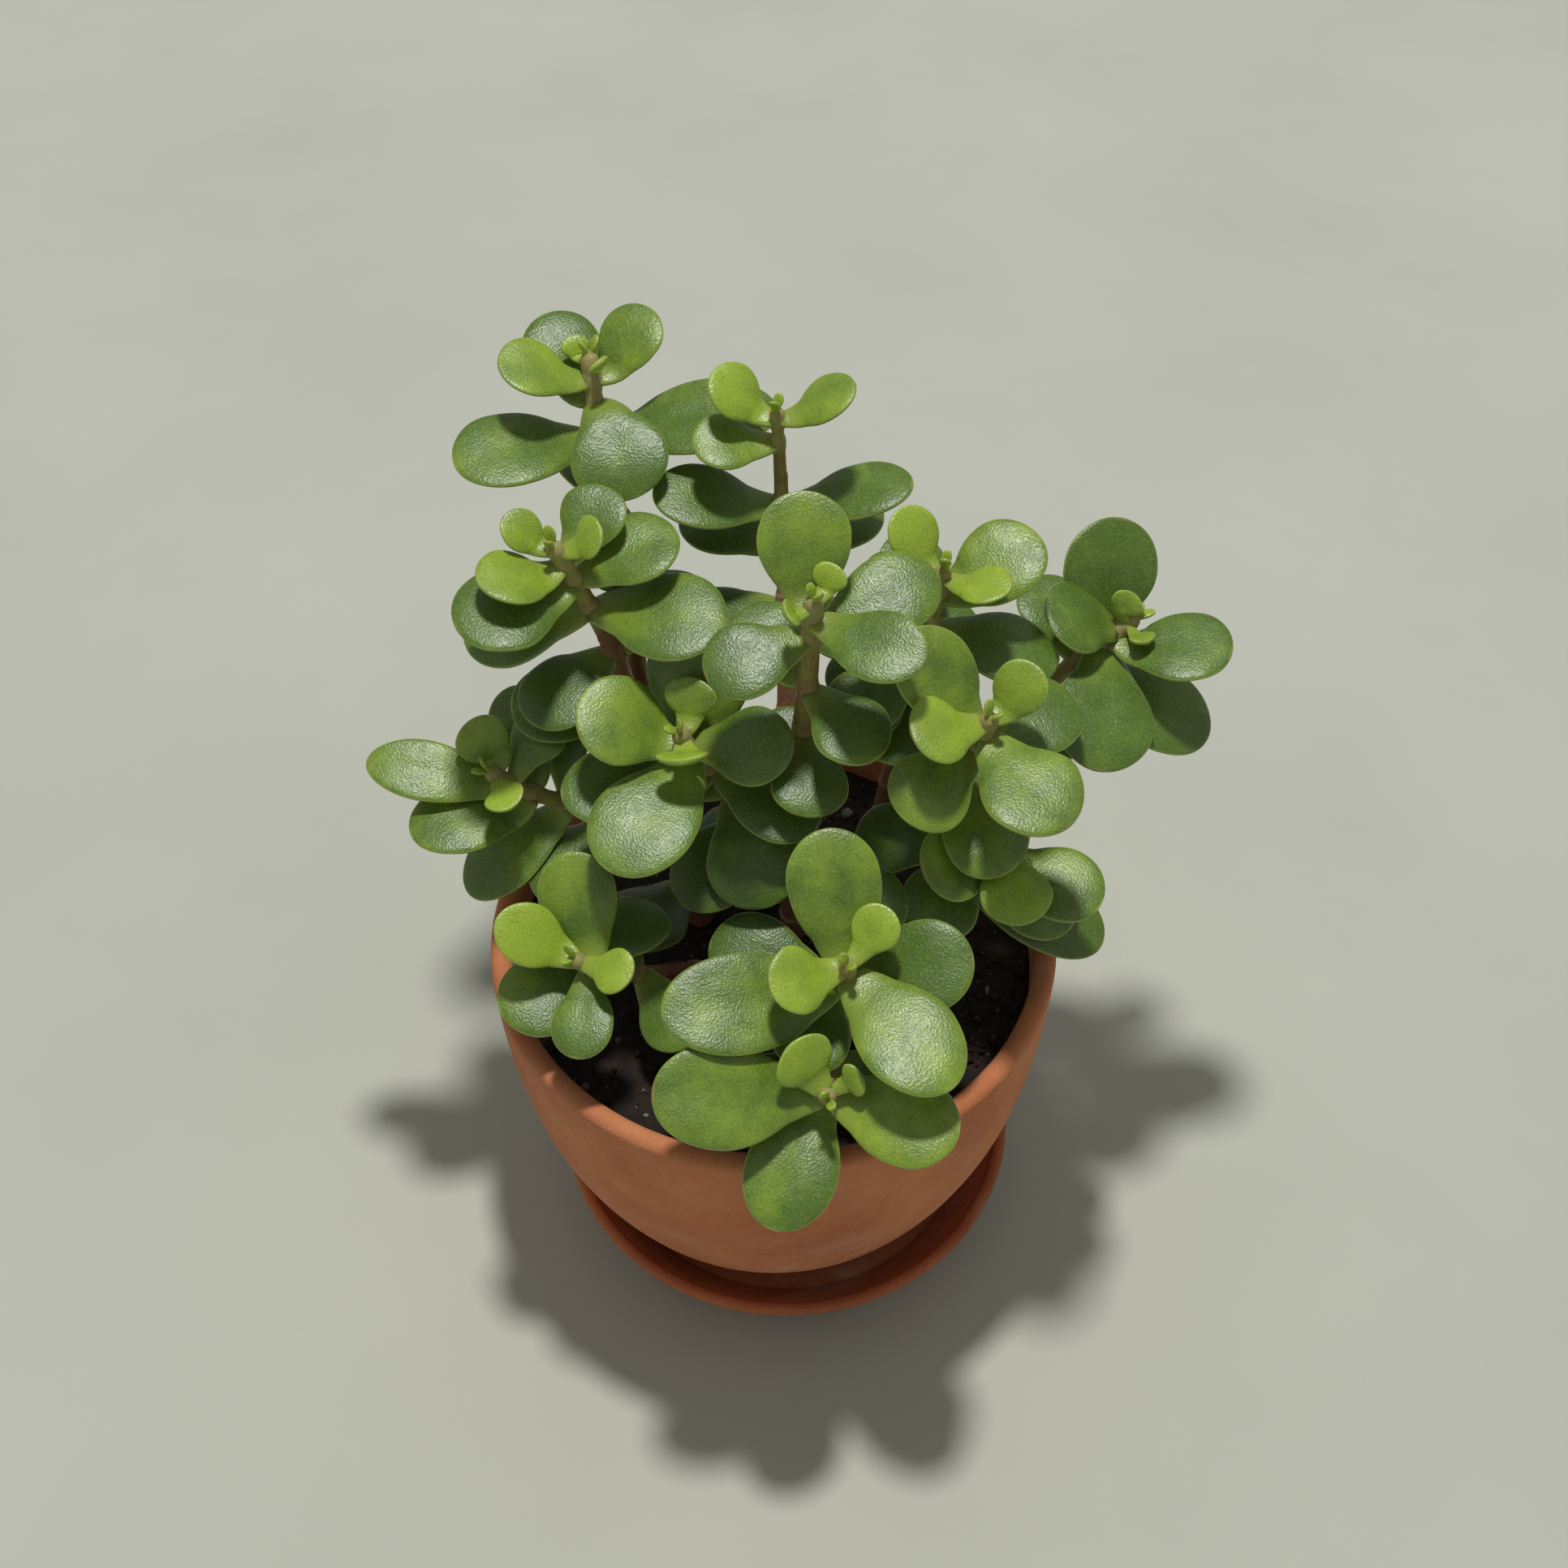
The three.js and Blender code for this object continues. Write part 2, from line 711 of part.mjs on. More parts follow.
// The youngest leaves are placed first on every shoot, then the next pair down, and so on.
const levels = Math.max(...branches.map((branch) => branch.pairs.length));
for (let level = 0; level < levels; level += 1) {
  for (const branch of branches.filter(({ pairs }) => level < pairs.length)) {
    const [below, ...leaves] = branch.pairs[level];
    const pair = settlePair(thicket, branch, below, leaves.filter(Boolean));
    thicket.add(pair.solid);
    branch.grown.push(pair);
  }
}

for (const { shoot, grown } of branches) {
  const young = grown.slice(0, YOUNG_PAIRS);
  const tip = young.reduce((upper, lower) => ({
    node: lower.node,
    solid: joinPairs(upper.solid, lower.solid, upper.node, lower.node),
  }));
  [tip, ...grown.slice(YOUNG_PAIRS)].forEach(({ solid }, i) => {
    const look = material(LEAF_COLOURS[Math.min(i, LEAF_COLOURS.length - 1)], 0.5);
    plant.add(named(`leaves_${shoot}_${i + 1}`, toGeometry(solid), look));
  });
}

export default object;
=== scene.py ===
"""Potted jade plant: the finished look of the pot, saucer, soil, stems and leaves.

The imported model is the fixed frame. Each of its pieces is measured from its solid there, and a
finely made piece takes its place. Only the loose crumbs of soil and the buds at the growing tips
are added. Lengths are in metres, and angles in radians where nothing else is said.
"""

import itertools
import math
from typing import NamedTuple

import bpy
import numpy as np
from bpy.props import FloatProperty, FloatVectorProperty, IntProperty, PointerProperty
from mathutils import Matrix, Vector
from mathutils.bvhtree import BVHTree


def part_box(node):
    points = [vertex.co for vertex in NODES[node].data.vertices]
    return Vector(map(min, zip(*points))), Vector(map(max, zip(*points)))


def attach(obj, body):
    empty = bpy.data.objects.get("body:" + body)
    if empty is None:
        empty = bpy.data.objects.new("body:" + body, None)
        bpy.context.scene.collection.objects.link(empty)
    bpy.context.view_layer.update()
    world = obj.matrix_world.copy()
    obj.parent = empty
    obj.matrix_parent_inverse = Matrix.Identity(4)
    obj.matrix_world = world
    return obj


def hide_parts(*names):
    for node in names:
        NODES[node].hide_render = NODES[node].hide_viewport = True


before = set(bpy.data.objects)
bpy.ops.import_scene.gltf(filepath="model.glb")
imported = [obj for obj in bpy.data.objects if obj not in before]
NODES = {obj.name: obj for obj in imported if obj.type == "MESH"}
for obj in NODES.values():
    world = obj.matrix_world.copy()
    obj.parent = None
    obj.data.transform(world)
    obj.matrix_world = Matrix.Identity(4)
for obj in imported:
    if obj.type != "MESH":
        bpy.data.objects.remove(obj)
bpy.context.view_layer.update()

bl_info = {
    "name": "Potted jade plant",
    "version": (1, 0, 0),
    "blender": (4, 5, 0),
    "location": "3D View > Sidebar > Jade plant",
    "description": "Makes a clay pot on its saucer, soil, and a jade plant's stems and leaves",
    "category": "Object",
}

MM = 0.001
LEAF_NODES = sorted(name for name in NODES if name.startswith("leaves_"))
STEM_NODES = sorted(name for name in NODES if name.startswith("stem_"))

# A leaf solid is a skin over rings of points, and so is a branch of a stem solid.
RING_POINTS = 6
LEAF_STATIONS = (0.95, 0.8, 0.52, 0.24)  # its rings after the tip, as shares of its length
WIDTH_STATION = 2  # the ring that is measured for the width
WIDTH_SHARE = 0.977  # that ring's width as a share of the leaf's greatest
LEAST_LEAF_RING = 3.2 * MM  # a narrower ring is the band round the stem
BRANCH_RINGS = 2


def srgb(code):
    """Linear colour and full alpha of an sRGB hex value."""
    channels = np.array([int(code[i:i + 2], 16) for i in (0, 2, 4)]) / 255
    curved = ((channels + 0.055) / 1.055) ** 2.4
    return (*np.where(channels <= 0.04045, channels / 12.92, curved), 1.0)


def colour(name, description, code):
    """A colour property whose default is an sRGB hex value."""
    return FloatVectorProperty(
        name=name, description=description, default=srgb(code), size=4, subtype="COLOR", min=0, max=1
    )


def length(name, description, millimetres):
    """A length property whose default is given in millimetres."""
    return FloatProperty(
        name=name, description=description, default=millimetres * MM, unit="LENGTH", precision=5
    )


def number(name, description, value, least=0):
    """A plain number property."""
    return FloatProperty(name=name, description=description, default=value, min=least)


# ---- settings --------------------------------------------------------------------------------


class ClaySettings(bpy.types.PropertyGroup):
    """The pot and its saucer."""

    foot_radius: length("Foot radius", "Outer radius of the pot's foot", 40)
    fullness: number("Fullness", "How low the pot's wall stays wide", 2.6, least=1)
    pot_wall: length("Pot wall", "Thickness of the pot's wall", 5)
    pot_floor: length("Pot floor", "Thickness of the pot's floor", 6)
    lip_round: length("Lip rounding", "Radius of the pot's outer lip edge", 2.2)
    drain_radius: length("Drain radius", "Radius of the hole in the pot's floor", 7)
    saucer_wall: length("Saucer wall", "Thickness of the saucer's wall", 3)
    saucer_floor: length("Saucer floor", "Thickness of the saucer's floor", 5)
    saucer_flare: length("Saucer flare", "How far the saucer's wall leans outwards", 8)
    pot_colour: colour("Pot clay", "Dry fired clay of the pot", "CC8456")
    pot_dark: colour("Pot clay, dark", "Darker patches of the pot's clay", "AF6540")
    saucer_colour: colour("Saucer clay", "Fired clay of the saucer", "C2744A")
    saucer_dark: colour("Saucer clay, dark", "Darker patches of the saucer's clay", "9E5533")
    bloom_colour: colour("Lime bloom", "Pale salts dried on the clay", "D8B79C")


class SoilSettings(bpy.types.PropertyGroup):
    """The peat compost."""

    edge_drop: length("Edge drop", "How much lower the soil is at the pot's wall", 2)
    lump_height: length("Lump height", "Height of the lumps in its surface", 1.6)
    crumbs: IntProperty(name="Crumbs", description="Number of loose crumbs", default=620, min=0)
    crumb_size: length("Crumb size", "Usual width of a loose crumb", 1.5)
    peat_colour: colour("Peat", "Damp peat", "1D1714")
    fibre_colour: colour("Bark fibre", "Crumbs of composted bark", "4A382B")
    grit_colour: colour("Grit", "Mineral specks", "8D8C86")


class StemSettings(bpy.types.PropertyGroup):
    """The stems."""

    detail: length("Detail", "Size of the smallest face of the stem's skin", 0.6)
    joint_swell: length("Joint swelling", "How far a stem swells where leaves grow", 0.45)
    scar_spacing: length("Scar spacing", "Distance between old leaf scars", 8.5)
    wood_age: length("Wood age", "Distance below the growing tip where bark is woody", 75)
    young_colour: colour("Young bark", "Green bark near the tip", "94904C")
    middle_colour: colour("Middle bark", "Reddish bark half way down", "8F6047")
    old_colour: colour("Old bark", "Grey-brown bark near the soil", "77614E")
    scar_colour: colour("Scar", "Leaf scars and joints", "A99A72")


class LeafSettings(bpy.types.PropertyGroup):
    """The leaves."""

    thickness: length("Thickness", "Thickness of a leaf 18 mm wide", 3.3)
    stalk: number("Stalk", "Width at the stem over the greatest width", 0.3)
    widest: number("Widest place", "Where a leaf is widest along its length", 0.57)
    mature_from: length("Mature from", "Distance below the tip where leaves are full grown", 11)
    old_from: length("Old from", "Distance below the tip where leaves are oldest", 70)
    rows: IntProperty(name="Rows", description="Faces along a leaf", default=44, min=8)
    columns: IntProperty(name="Columns", description="Faces round a leaf", default=40, min=8)
    bud_length: length("Bud length", "Length of the folded leaves at a growing tip", 4.0)
    young_colour: colour("Young leaf", "Fresh yellow-green leaf", "9BB431")
    mature_colour: colour("Mature leaf", "Full-grown leaf", "577423")
    old_colour: colour("Old leaf", "Oldest, bluish leaf", "39521F")
    margin_colour: colour("Margin", "Thin pale line round the edge", "A3B257")
    stalk_colour: colour("Stalk", "Pale base of a leaf", "93A443")
    tip_colour: colour("Tip blush", "Brown blush at some leaves' tips", "7C6A3E")


class StageSettings(bpy.types.PropertyGroup):
    """Floor, light and camera."""

    floor_size: length("Floor size", "Side of the floor", 8000)
    floor_colour: colour("Floor", "Pale matt floor", "B9BBAE")
    lamp_height: length("Lamp height", "Height of the lamp above the floor", 605)
    lamp_forward: length("Lamp place", "How far the lamp is behind the pot's middle", 15)
    lamp_size: length("Lamp size", "Diameter of the lamp, which softens the shadows", 46)
    lamp_strength: number("Lamp strength", "Brightness of the lamp straight down", 30)
    room_colour: colour("Room", "Light of the pale room", "D8DBD9")
    room_strength: number("Room strength", "Brightness of the pale room", 0.41)
    camera_distance: length("Camera distance", "From the camera to the point it looks at", 350)
    camera_aim: length("Camera aim", "Height of the point it looks at", 142)
    camera_elevation: FloatProperty(
        name="Camera elevation", description="Angle of the view above the horizon",
        default=math.radians(47), subtype="ANGLE",
    )
    lens: number("Lens", "Focal length in mm on a 36 mm sensor", 38.2, least=1)


# ---- grids and noise -------------------------------------------------------------------------


def lattice_noise(points, cell, seed):
    """Smooth noise from -1 to 1. Each corner of a lattice of cubes has its own value, and a point
    mixes the values of the eight corners round it by a smooth step along each axis."""
    place = points / cell + 512.0
    corner = np.floor(place).astype(np.int64)
    share = place - corner
    share = share**2 * (3 - 2 * share)
    total = np.zeros(points.shape[:-1])
    for step in itertools.product((0, 1), repeat=3):
        key = (corner + step) @ np.array([73856093, 19349663, 83492791]) + seed * 15485863
        key = (key ^ (key >> 13)) * 1274126177 & 0xFFFFFFFF
        key = (key ^ (key >> 16)) * 668265263 & 0xFFFFFFFF
        weight = np.where(np.array(step, bool), share, 1 - share).prod(axis=-1)
        total += weight * (key / 2**31 - 1)
    return total


def layered_noise(points, cell, seed, layers=3):
    """Noise summed over layers, each with half the cell and half the height of the one before."""
    shares = 0.5 ** np.arange(layers)
    noises = [lattice_noise(points, cell * s, seed + i) for i, s in enumerate(shares)]
    return np.tensordot(shares, np.array(noises), axes=1) / shares.sum()


def smooth_step(low, high, value):
    """0 below low, 1 above high, and a smooth S between."""
    share = np.clip((value - low) / (high - low), 0, 1)
    return share**2 * (3 - 2 * share)


def unit(vectors):
    """The same directions with length 1."""
    return vectors / np.linalg.norm(vectors, axis=-1, keepdims=True)


def ring_quads(rows, columns, ring_loop=False):
    """Corner numbers of the quads between rows of a grid whose every row is a closed ring. With
    ring_loop the last row joins the first."""
    row = np.arange(rows if ring_loop else rows - 1)[:, None]
    column = np.arange(columns)[None, :]
    after, beside = (row + 1) % rows, (column + 1) % columns
    corners = [row * columns + column, row * columns + beside,
               after * columns + beside, after * columns + column]
    return np.stack(np.broadcast_arrays(*corners), axis=-1).reshape(-1, 4)


def capped(grid):
    """Points of a closed skin over a grid of rings, and its faces as an array of quads and one
    of triangles. The middles of the first ring and of the last one close the ends."""
    rows, columns = grid.shape[:2]
    points = np.vstack([grid.reshape(-1, 3), grid[0].mean(0), grid[-1].mean(0)])
    column = np.arange(columns)
    beside = (column + 1) % columns
    last = (rows - 1) * columns
    start = np.column_stack([np.full(columns, rows * columns), beside, column])
    end = np.column_stack([np.full(columns, rows * columns + 1), last + column, last + beside])
    return points, [ring_quads(rows, columns), np.vstack([start, end])]


def revolved(profile, centre, sides):
    """Grid of points of a profile of (radius, height) turned round a vertical axis."""
    angle = np.linspace(0, 2 * np.pi, sides, endpoint=False)[None, :]
    radius, height = profile[:, :1], profile[:, 1:]
    x = centre[0] + radius * np.cos(angle)
    y = centre[1] + radius * np.sin(angle)
    return np.stack([x, y, np.broadcast_to(height, x.shape)], axis=-1)


def arc(centre, radius, start, end, count):
    """Profile points on an arc between two angles in degrees."""
    angle = np.radians(np.linspace(start, end, count))
    return np.column_stack([centre[0] + radius * np.cos(angle), centre[1] + radius * np.sin(angle)])


def level_line(start, end, height, count):
    """Profile points on a level line between two radii."""
    return np.column_stack([np.linspace(start, end, count), np.full(count, height)])


def outward(points, faces):
    """The arrays of faces, turned over if they enclose a negative volume."""
    fans = [(group, k) for group in faces for k in range(1, group.shape[1] - 1)]
    corners = np.vstack([group[:, [0, k, k + 1]] for group, k in fans])
    a, b, c = points[corners].swapaxes(0, 1)
    volume = np.einsum("ij,ij->", a - points.mean(0), np.cross(b - a, c - a))
    return faces if volume > 0 else [group[:, ::-1] for group in faces]


def make_piece(name, points, faces, material, nodes=(), traits=None):
    """A smooth-shaded mesh that rides on the object's body and stands for the given CAD nodes.
    faces are arrays, one for each number of corners, and traits are colour attributes, four
    numbers for each point."""
    mesh = bpy.data.meshes.new(name)
    skin = itertools.chain.from_iterable(group.tolist() for group in outward(points, faces))
    mesh.from_pydata(points, [], list(skin))
    mesh.polygons.foreach_set("use_smooth", np.ones(len(mesh.polygons), bool))
    for trait, values in (traits or {}).items():
        attribute = mesh.attributes.new(trait, "FLOAT_COLOR", "POINT")
        attribute.data.foreach_set("color", np.ascontiguousarray(values, np.float32).ravel())
    mesh.materials.append(material)
    mesh.update()
    piece = bpy.data.objects.new(name, mesh)
    bpy.context.scene.collection.objects.link(piece)
    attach(piece, "root")
    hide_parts(*nodes)
    return piece


# ---- measuring the solids --------------------------------------------------------------------


def round_box(node):
    """Middle, radius, lowest and highest place of a CAD node that is round about a vertical axis."""
    low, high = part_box(node)
    return ((low.x + high.x) / 2, (low.y + high.y) / 2), (high.x - low.x) / 2, low.z, high.z


class Leaf(NamedTuple):
    """Where a leaf lies. along, across and up are its own three directions."""

    base: np.ndarray
    along: np.ndarray
    across: np.ndarray
    up: np.ndarray
    length: float
    width: float


def merged(node):
    """Points and triangles of a CAD node, with equal points made one."""
    mesh = NODES[node].data
    points = np.zeros(len(mesh.vertices) * 3)
    corners = np.zeros(len(mesh.loops), int)
    mesh.vertices.foreach_get("co", points)
    mesh.loops.foreach_get("vertex_index", corners)
    rounded = np.round(points.reshape(-1, 3), 6)
    unique, places = np.unique(rounded, axis=0, return_inverse=True)
    return unique, places.reshape(-1)[corners].reshape(-1, 3)


def ringed_tips(points, triangles, count):
    """The points that are followed by rings of six, and the rings after each, as numbers of
    points. A ring is every point one edge further away than the ring before."""
    joined = np.zeros((len(points), len(points)), bool)
    for a, b in ((0, 1), (1, 2), (2, 0)):
        joined[triangles[:, a], triangles[:, b]] = True
        joined[triangles[:, b], triangles[:, a]] = True
    seen = np.eye(len(points), dtype=bool)
    rings = [seen.copy()]
    for _ in range(count):
        ring = (rings[-1].astype(np.float32) @ joined > 0) & ~seen
        seen |= ring
        rings.append(ring)
    found = np.all([ring.sum(1) == RING_POINTS for ring in rings[1:]], axis=0)
    return {i: [np.flatnonzero(ring[i]) for ring in rings[1:]] for i in np.flatnonzero(found)}


def measured_leaves(node):
    """Every leaf of a CAD node. The middles of a leaf's rings lie on its base, plus its span
    times their share s, plus its bow times 4 s (1 - s), and least squares gives these three."""
    points, triangles = merged(node)
    shares = np.array([1.0, *LEAF_STATIONS])
    terms = np.column_stack([np.ones(len(shares)), shares, 4 * shares * (1 - shares)])
    leaves = []
    for tip, rings in ringed_tips(points, triangles, len(LEAF_STATIONS)).items():
        ring = points[rings[WIDTH_STATION]]
        if np.linalg.norm(np.ptp(points[rings[1]], axis=0)) < LEAST_LEAF_RING:
            continue
        middles = np.vstack([points[tip], *[points[r].mean(0) for r in rings]])
        base, span, bow = np.linalg.lstsq(terms, middles, rcond=None)[0]
        along = unit(span)
        up = unit(bow - (bow @ along) * along)
        across = np.cross(up, along)
        width = np.ptp(ring @ across) / WIDTH_SHARE
        leaves.append(Leaf(base, along, across, up, np.linalg.norm(span), width))
    if not leaves:
        raise RuntimeError(f"no leaf was found in {node}")
    return leaves


class GrowingTip(NamedTuple):
    """The end of a shoot, and the direction in which it grows."""

    place: np.ndarray
    axis: np.ndarray


def growing_tips():
    """The upper end of every branch: a point followed by rings of six, above the soil."""
    soil_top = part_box("soil")[1].z
    tips = []
    for node in STEM_NODES:
        points, triangles = merged(node)
        for tip, rings in ringed_tips(points, triangles, BRANCH_RINGS).items():
            if points[tip][2] > soil_top:
                axis = points[tip] - points[rings[1]].mean(0)
                tips.append(GrowingTip(points[tip], unit(axis)))
    return tips


class Stems:
    """All stems as one surface, to find where a leaf grows from."""

    def __init__(self):
        points, triangles = [], []
        for node in STEM_NODES:
            corners, faces = merged(node)
            triangles.append(faces + sum(map(len, points)))
            points.append(corners)
        self.tree = BVHTree.FromPolygons(np.vstack(points).tolist(), np.vstack(triangles).tolist())
        self.tips = growing_tips()

    def nearest(self, place):
        """The nearest point of a stem's surface."""
        return np.array(self.tree.find_nearest(Vector(place))[0])

    def below_tip(self, place):
        """Distance from a growing tip to the place, for the nearest tip."""
        return min(np.linalg.norm(tip.place - place) for tip in self.tips)


# ---- materials -------------------------------------------------------------------------------


def add(tree, kind, inputs=None, **settings):
    """Adds one node. inputs gives sockets, by name or number, a value or another node's output."""
    made = tree.nodes.new(kind)
    for name, value in settings.items():
        setattr(made, name, value)
    for socket, value in (inputs or {}).items():
        if isinstance(value, bpy.types.NodeSocket):
            tree.links.new(value, made.inputs[socket])
        else:
            made.inputs[socket].default_value = value
    return made


MIX_FACTOR, MIX_A, MIX_B, MIX_RESULT = 0, 6, 7, 2  # sockets of a Mix node that mixes colours


def mixed(tree, factor, first, second, blend="MIX"):
    """Colour output of a Mix node."""
    inputs = {MIX_FACTOR: factor, MIX_A: first, MIX_B: second}
    return add(tree, "ShaderNodeMix", inputs, data_type="RGBA", blend_type=blend).outputs[MIX_RESULT]


def ranged(tree, value, low, high, to_low=0.0, to_high=1.0, smooth=False):
    """A value carried from one range to another and held inside it."""
    inputs = {"Value": value, "From Min": low, "From Max": high, "To Min": to_low, "To Max": to_high}
    kind = "SMOOTHSTEP" if smooth else "LINEAR"
    return add(tree, "ShaderNodeMapRange", inputs, interpolation_type=kind).outputs["Result"]


def darker(tint, share):
    """A colour with its light times a share."""
    return (*[channel * share for channel in tint[:3]], 1)


def tinted(tree, body, tint, value, low, high, most=1.0, smooth=False):
    """A colour mixed with a tint: none of it where the value is low, and most of it at high."""
    return mixed(tree, ranged(tree, value, low, high, 0, most, smooth), body, tint)


def combined(tree, first, second, operation="ADD"):
    """Result of a Math node with two inputs."""
    return add(tree, "ShaderNodeMath", {0: first, 1: second}, operation=operation).outputs[0]


def noise(tree, place, size, detail=3.0, roughness=0.55):
    """Noise whose blotches are about the given size in millimetres."""
    inputs = {"Vector": place, "Scale": 1 / (size * MM), "Detail": detail, "Roughness": roughness}
    return add(tree, "ShaderNodeTexNoise", inputs).outputs["Fac"]


def cells(tree, place, size):
    """Distance to the nearest of scattered points, about the given millimetres apart."""
    inputs = {"Vector": place, "Scale": 1 / (size * MM)}
    return add(tree, "ShaderNodeTexVoronoi", inputs).outputs["Distance"]


def new_material(name, **constants):
    """A material with one Principled shader, and its node tree, shader and object coordinates.
    constants are set on the shader's own sockets, with _ for a space."""
    material = bpy.data.materials.new(name)
    material.use_nodes = True
    tree = material.node_tree
    shader = tree.nodes["Principled BSDF"]
    for socket, value in constants.items():
        shader.inputs[socket.replace("_", " ")].default_value = value
    place = add(tree, "ShaderNodeTexCoord").outputs["Object"]
    return material, tree, shader, place


def surfaced(tree, shader, sockets, *layers):
    """Links the shader's named sockets, and its normal to bumps from (height, depth in
    millimetres) layers, one on another."""
    normal = None
    for height, depth in layers:
        inputs = {"Height": height, "Distance": depth * MM, "Strength": 1.0}
        if normal is not None:
            inputs["Normal"] = normal
        normal = add(tree, "ShaderNodeBump", inputs).outputs["Normal"]
    for name, output in {**sockets, "Normal": normal}.items():
        tree.links.new(output, shader.inputs[name])


def fired_clay(name, clay, dark, bloom, foot, bloom_height):
    """Terracotta, pressed in a mould and fired without a glaze: a matt, thirsty surface with cloudy orange
    patches, sand grains, tiny pits darkened by painted shade, faint turning lines, and pale lime dried on
    it near the foot."""
    material, tree, shader, place = new_material(name, IOR=1.5, Specular_IOR_Level=0.3)
    cloud = ranged(tree, noise(tree, place, 38, 4), 0.35, 0.68)
    body = mixed(tree, cloud, clay, dark)
    fine = ranged(tree, noise(tree, place, 5, 5, 0.7), 0.3, 0.75)
    body = mixed(tree, combined(tree, fine, 0.22, "MULTIPLY"), body, dark)
    # Sand grains, about 0.6 mm: pale on top, with painted shade darkening the pits between them.
    grain = noise(tree, place, 0.6, 2, 0.6)
    body = tinted(tree, body, bloom, grain, 0.6, 0.78, 0.45)
    # Painted shade: near black where the grain's bump is lowest, in the pits.
    body = tinted(tree, body, darker(dark, 0.35), grain, 0.36, 0.24, 0.5)
    # Lime bloom, strongest near the foot.
    height = add(tree, "ShaderNodeSeparateXYZ", {0: place}).outputs["Z"]
    low = ranged(tree, height, foot, foot + bloom_height, 1, 0.22, smooth=True)
    patch = ranged(tree, noise(tree, place, 17, 6, 0.62), 0.48, 0.72, 0, 0.55, smooth=True)
    body = mixed(tree, combined(tree, patch, low, "MULTIPLY"), body, bloom)
    # Turning lines: noise drawn out round the pot, one every 1.5 mm or so.
    squeezed = add(tree, "ShaderNodeMapping", {"Vector": place, "Scale": (0.03, 0.03, 1.0)}).outputs[0]
    line = noise(tree, squeezed, 1.5, 2)
    body = tinted(tree, body, dark, line, 0.55, 0.75, 0.12)
    sockets = {"Base Color": body, "Roughness": ranged(tree, fine, 0, 1, 0.78, 0.95)}
    surfaced(tree, shader, sockets, (line, 0.10), (noise(tree, place, 4, 4), 0.12), (grain, 0.07))
    return material


def damp_peat(soil):
    """Damp peat compost: almost black, with brown fibre, mineral specks and a faint wet sheen."""
    material, tree, shader, place = new_material("damp_peat_compost", IOR=1.4, Specular_IOR_Level=0.35)
    tone = add(tree, "ShaderNodeAttribute", attribute_name="crumb").outputs["Fac"]
    clump = ranged(tree, noise(tree, place, 3.2, 5, 0.7), 0.35, 0.75, 0, 0.55)
    body = mixed(tree, clump, soil.peat_colour[:], soil.fibre_colour[:])
    body = tinted(tree, body, soil.grit_colour[:], cells(tree, place, 2.6), 0.16, 0.08, 0.6)
    body = tinted(tree, body, soil.fibre_colour[:], tone, 0.55, 0.85)
    body = tinted(tree, body, soil.grit_colour[:], tone, 0.93, 0.95)
    sockets = {"Base Color": body, "Roughness": ranged(tree, clump, 0, 0.55, 0.55, 0.95)}
    lumps, fine = noise(tree, place, 1.6, 5, 0.7), noise(tree, place, 0.4, 2)
    surfaced(tree, shader, sockets, (lumps, 0.6), (fine, 0.15))
    return material


def living_bark(stem):
    """Bark of a succulent stem: smooth green skin near the tip, then reddish, then dull grey-brown with
    fine lengthways cracks, darkened by painted shade. Leaf scars go round it as pale rings."""
    material, tree, shader, place = new_material("succulent_bark", IOR=1.42, Specular_IOR_Level=0.4)
    trait = add(tree, "ShaderNodeAttribute", attribute_name="bark").outputs["Color"]
    parts = add(tree, "ShaderNodeSeparateColor", {0: trait})
    age, scar = parts.outputs["Red"], parts.outputs["Green"]
    blotch = ranged(tree, noise(tree, place, 5, 4), 0.3, 0.7, -0.22, 0.22)
    ageing = combined(tree, age, blotch)
    body = tinted(tree, stem.young_colour[:], stem.middle_colour[:], ageing, 0.12, 0.5)
    body = tinted(tree, body, stem.old_colour[:], ageing, 0.55, 0.95)
    drawn = add(tree, "ShaderNodeMapping", {"Vector": place, "Scale": (1.0, 1.0, 0.16)}).outputs[0]
    crack = noise(tree, drawn, 0.8, 4, 0.65)
    # Painted shade: near black in the cracks, where the crack bump is lowest.
    body = tinted(tree, body, darker(stem.old_colour, 0.4), crack, 0.42, 0.28, 0.55)
    body = tinted(tree, body, stem.scar_colour[:], crack, 0.6, 0.8, 0.3)
    body = mixed(tree, combined(tree, scar, 0.7, "MULTIPLY"), body, stem.scar_colour[:])
    sockets = {"Base Color": body, "Roughness": ranged(tree, ageing, 0.1, 0.9, 0.4, 0.75)}
    surfaced(tree, shader, sockets, (crack, 0.16), (noise(tree, place, 0.5, 2), 0.04))
    return material


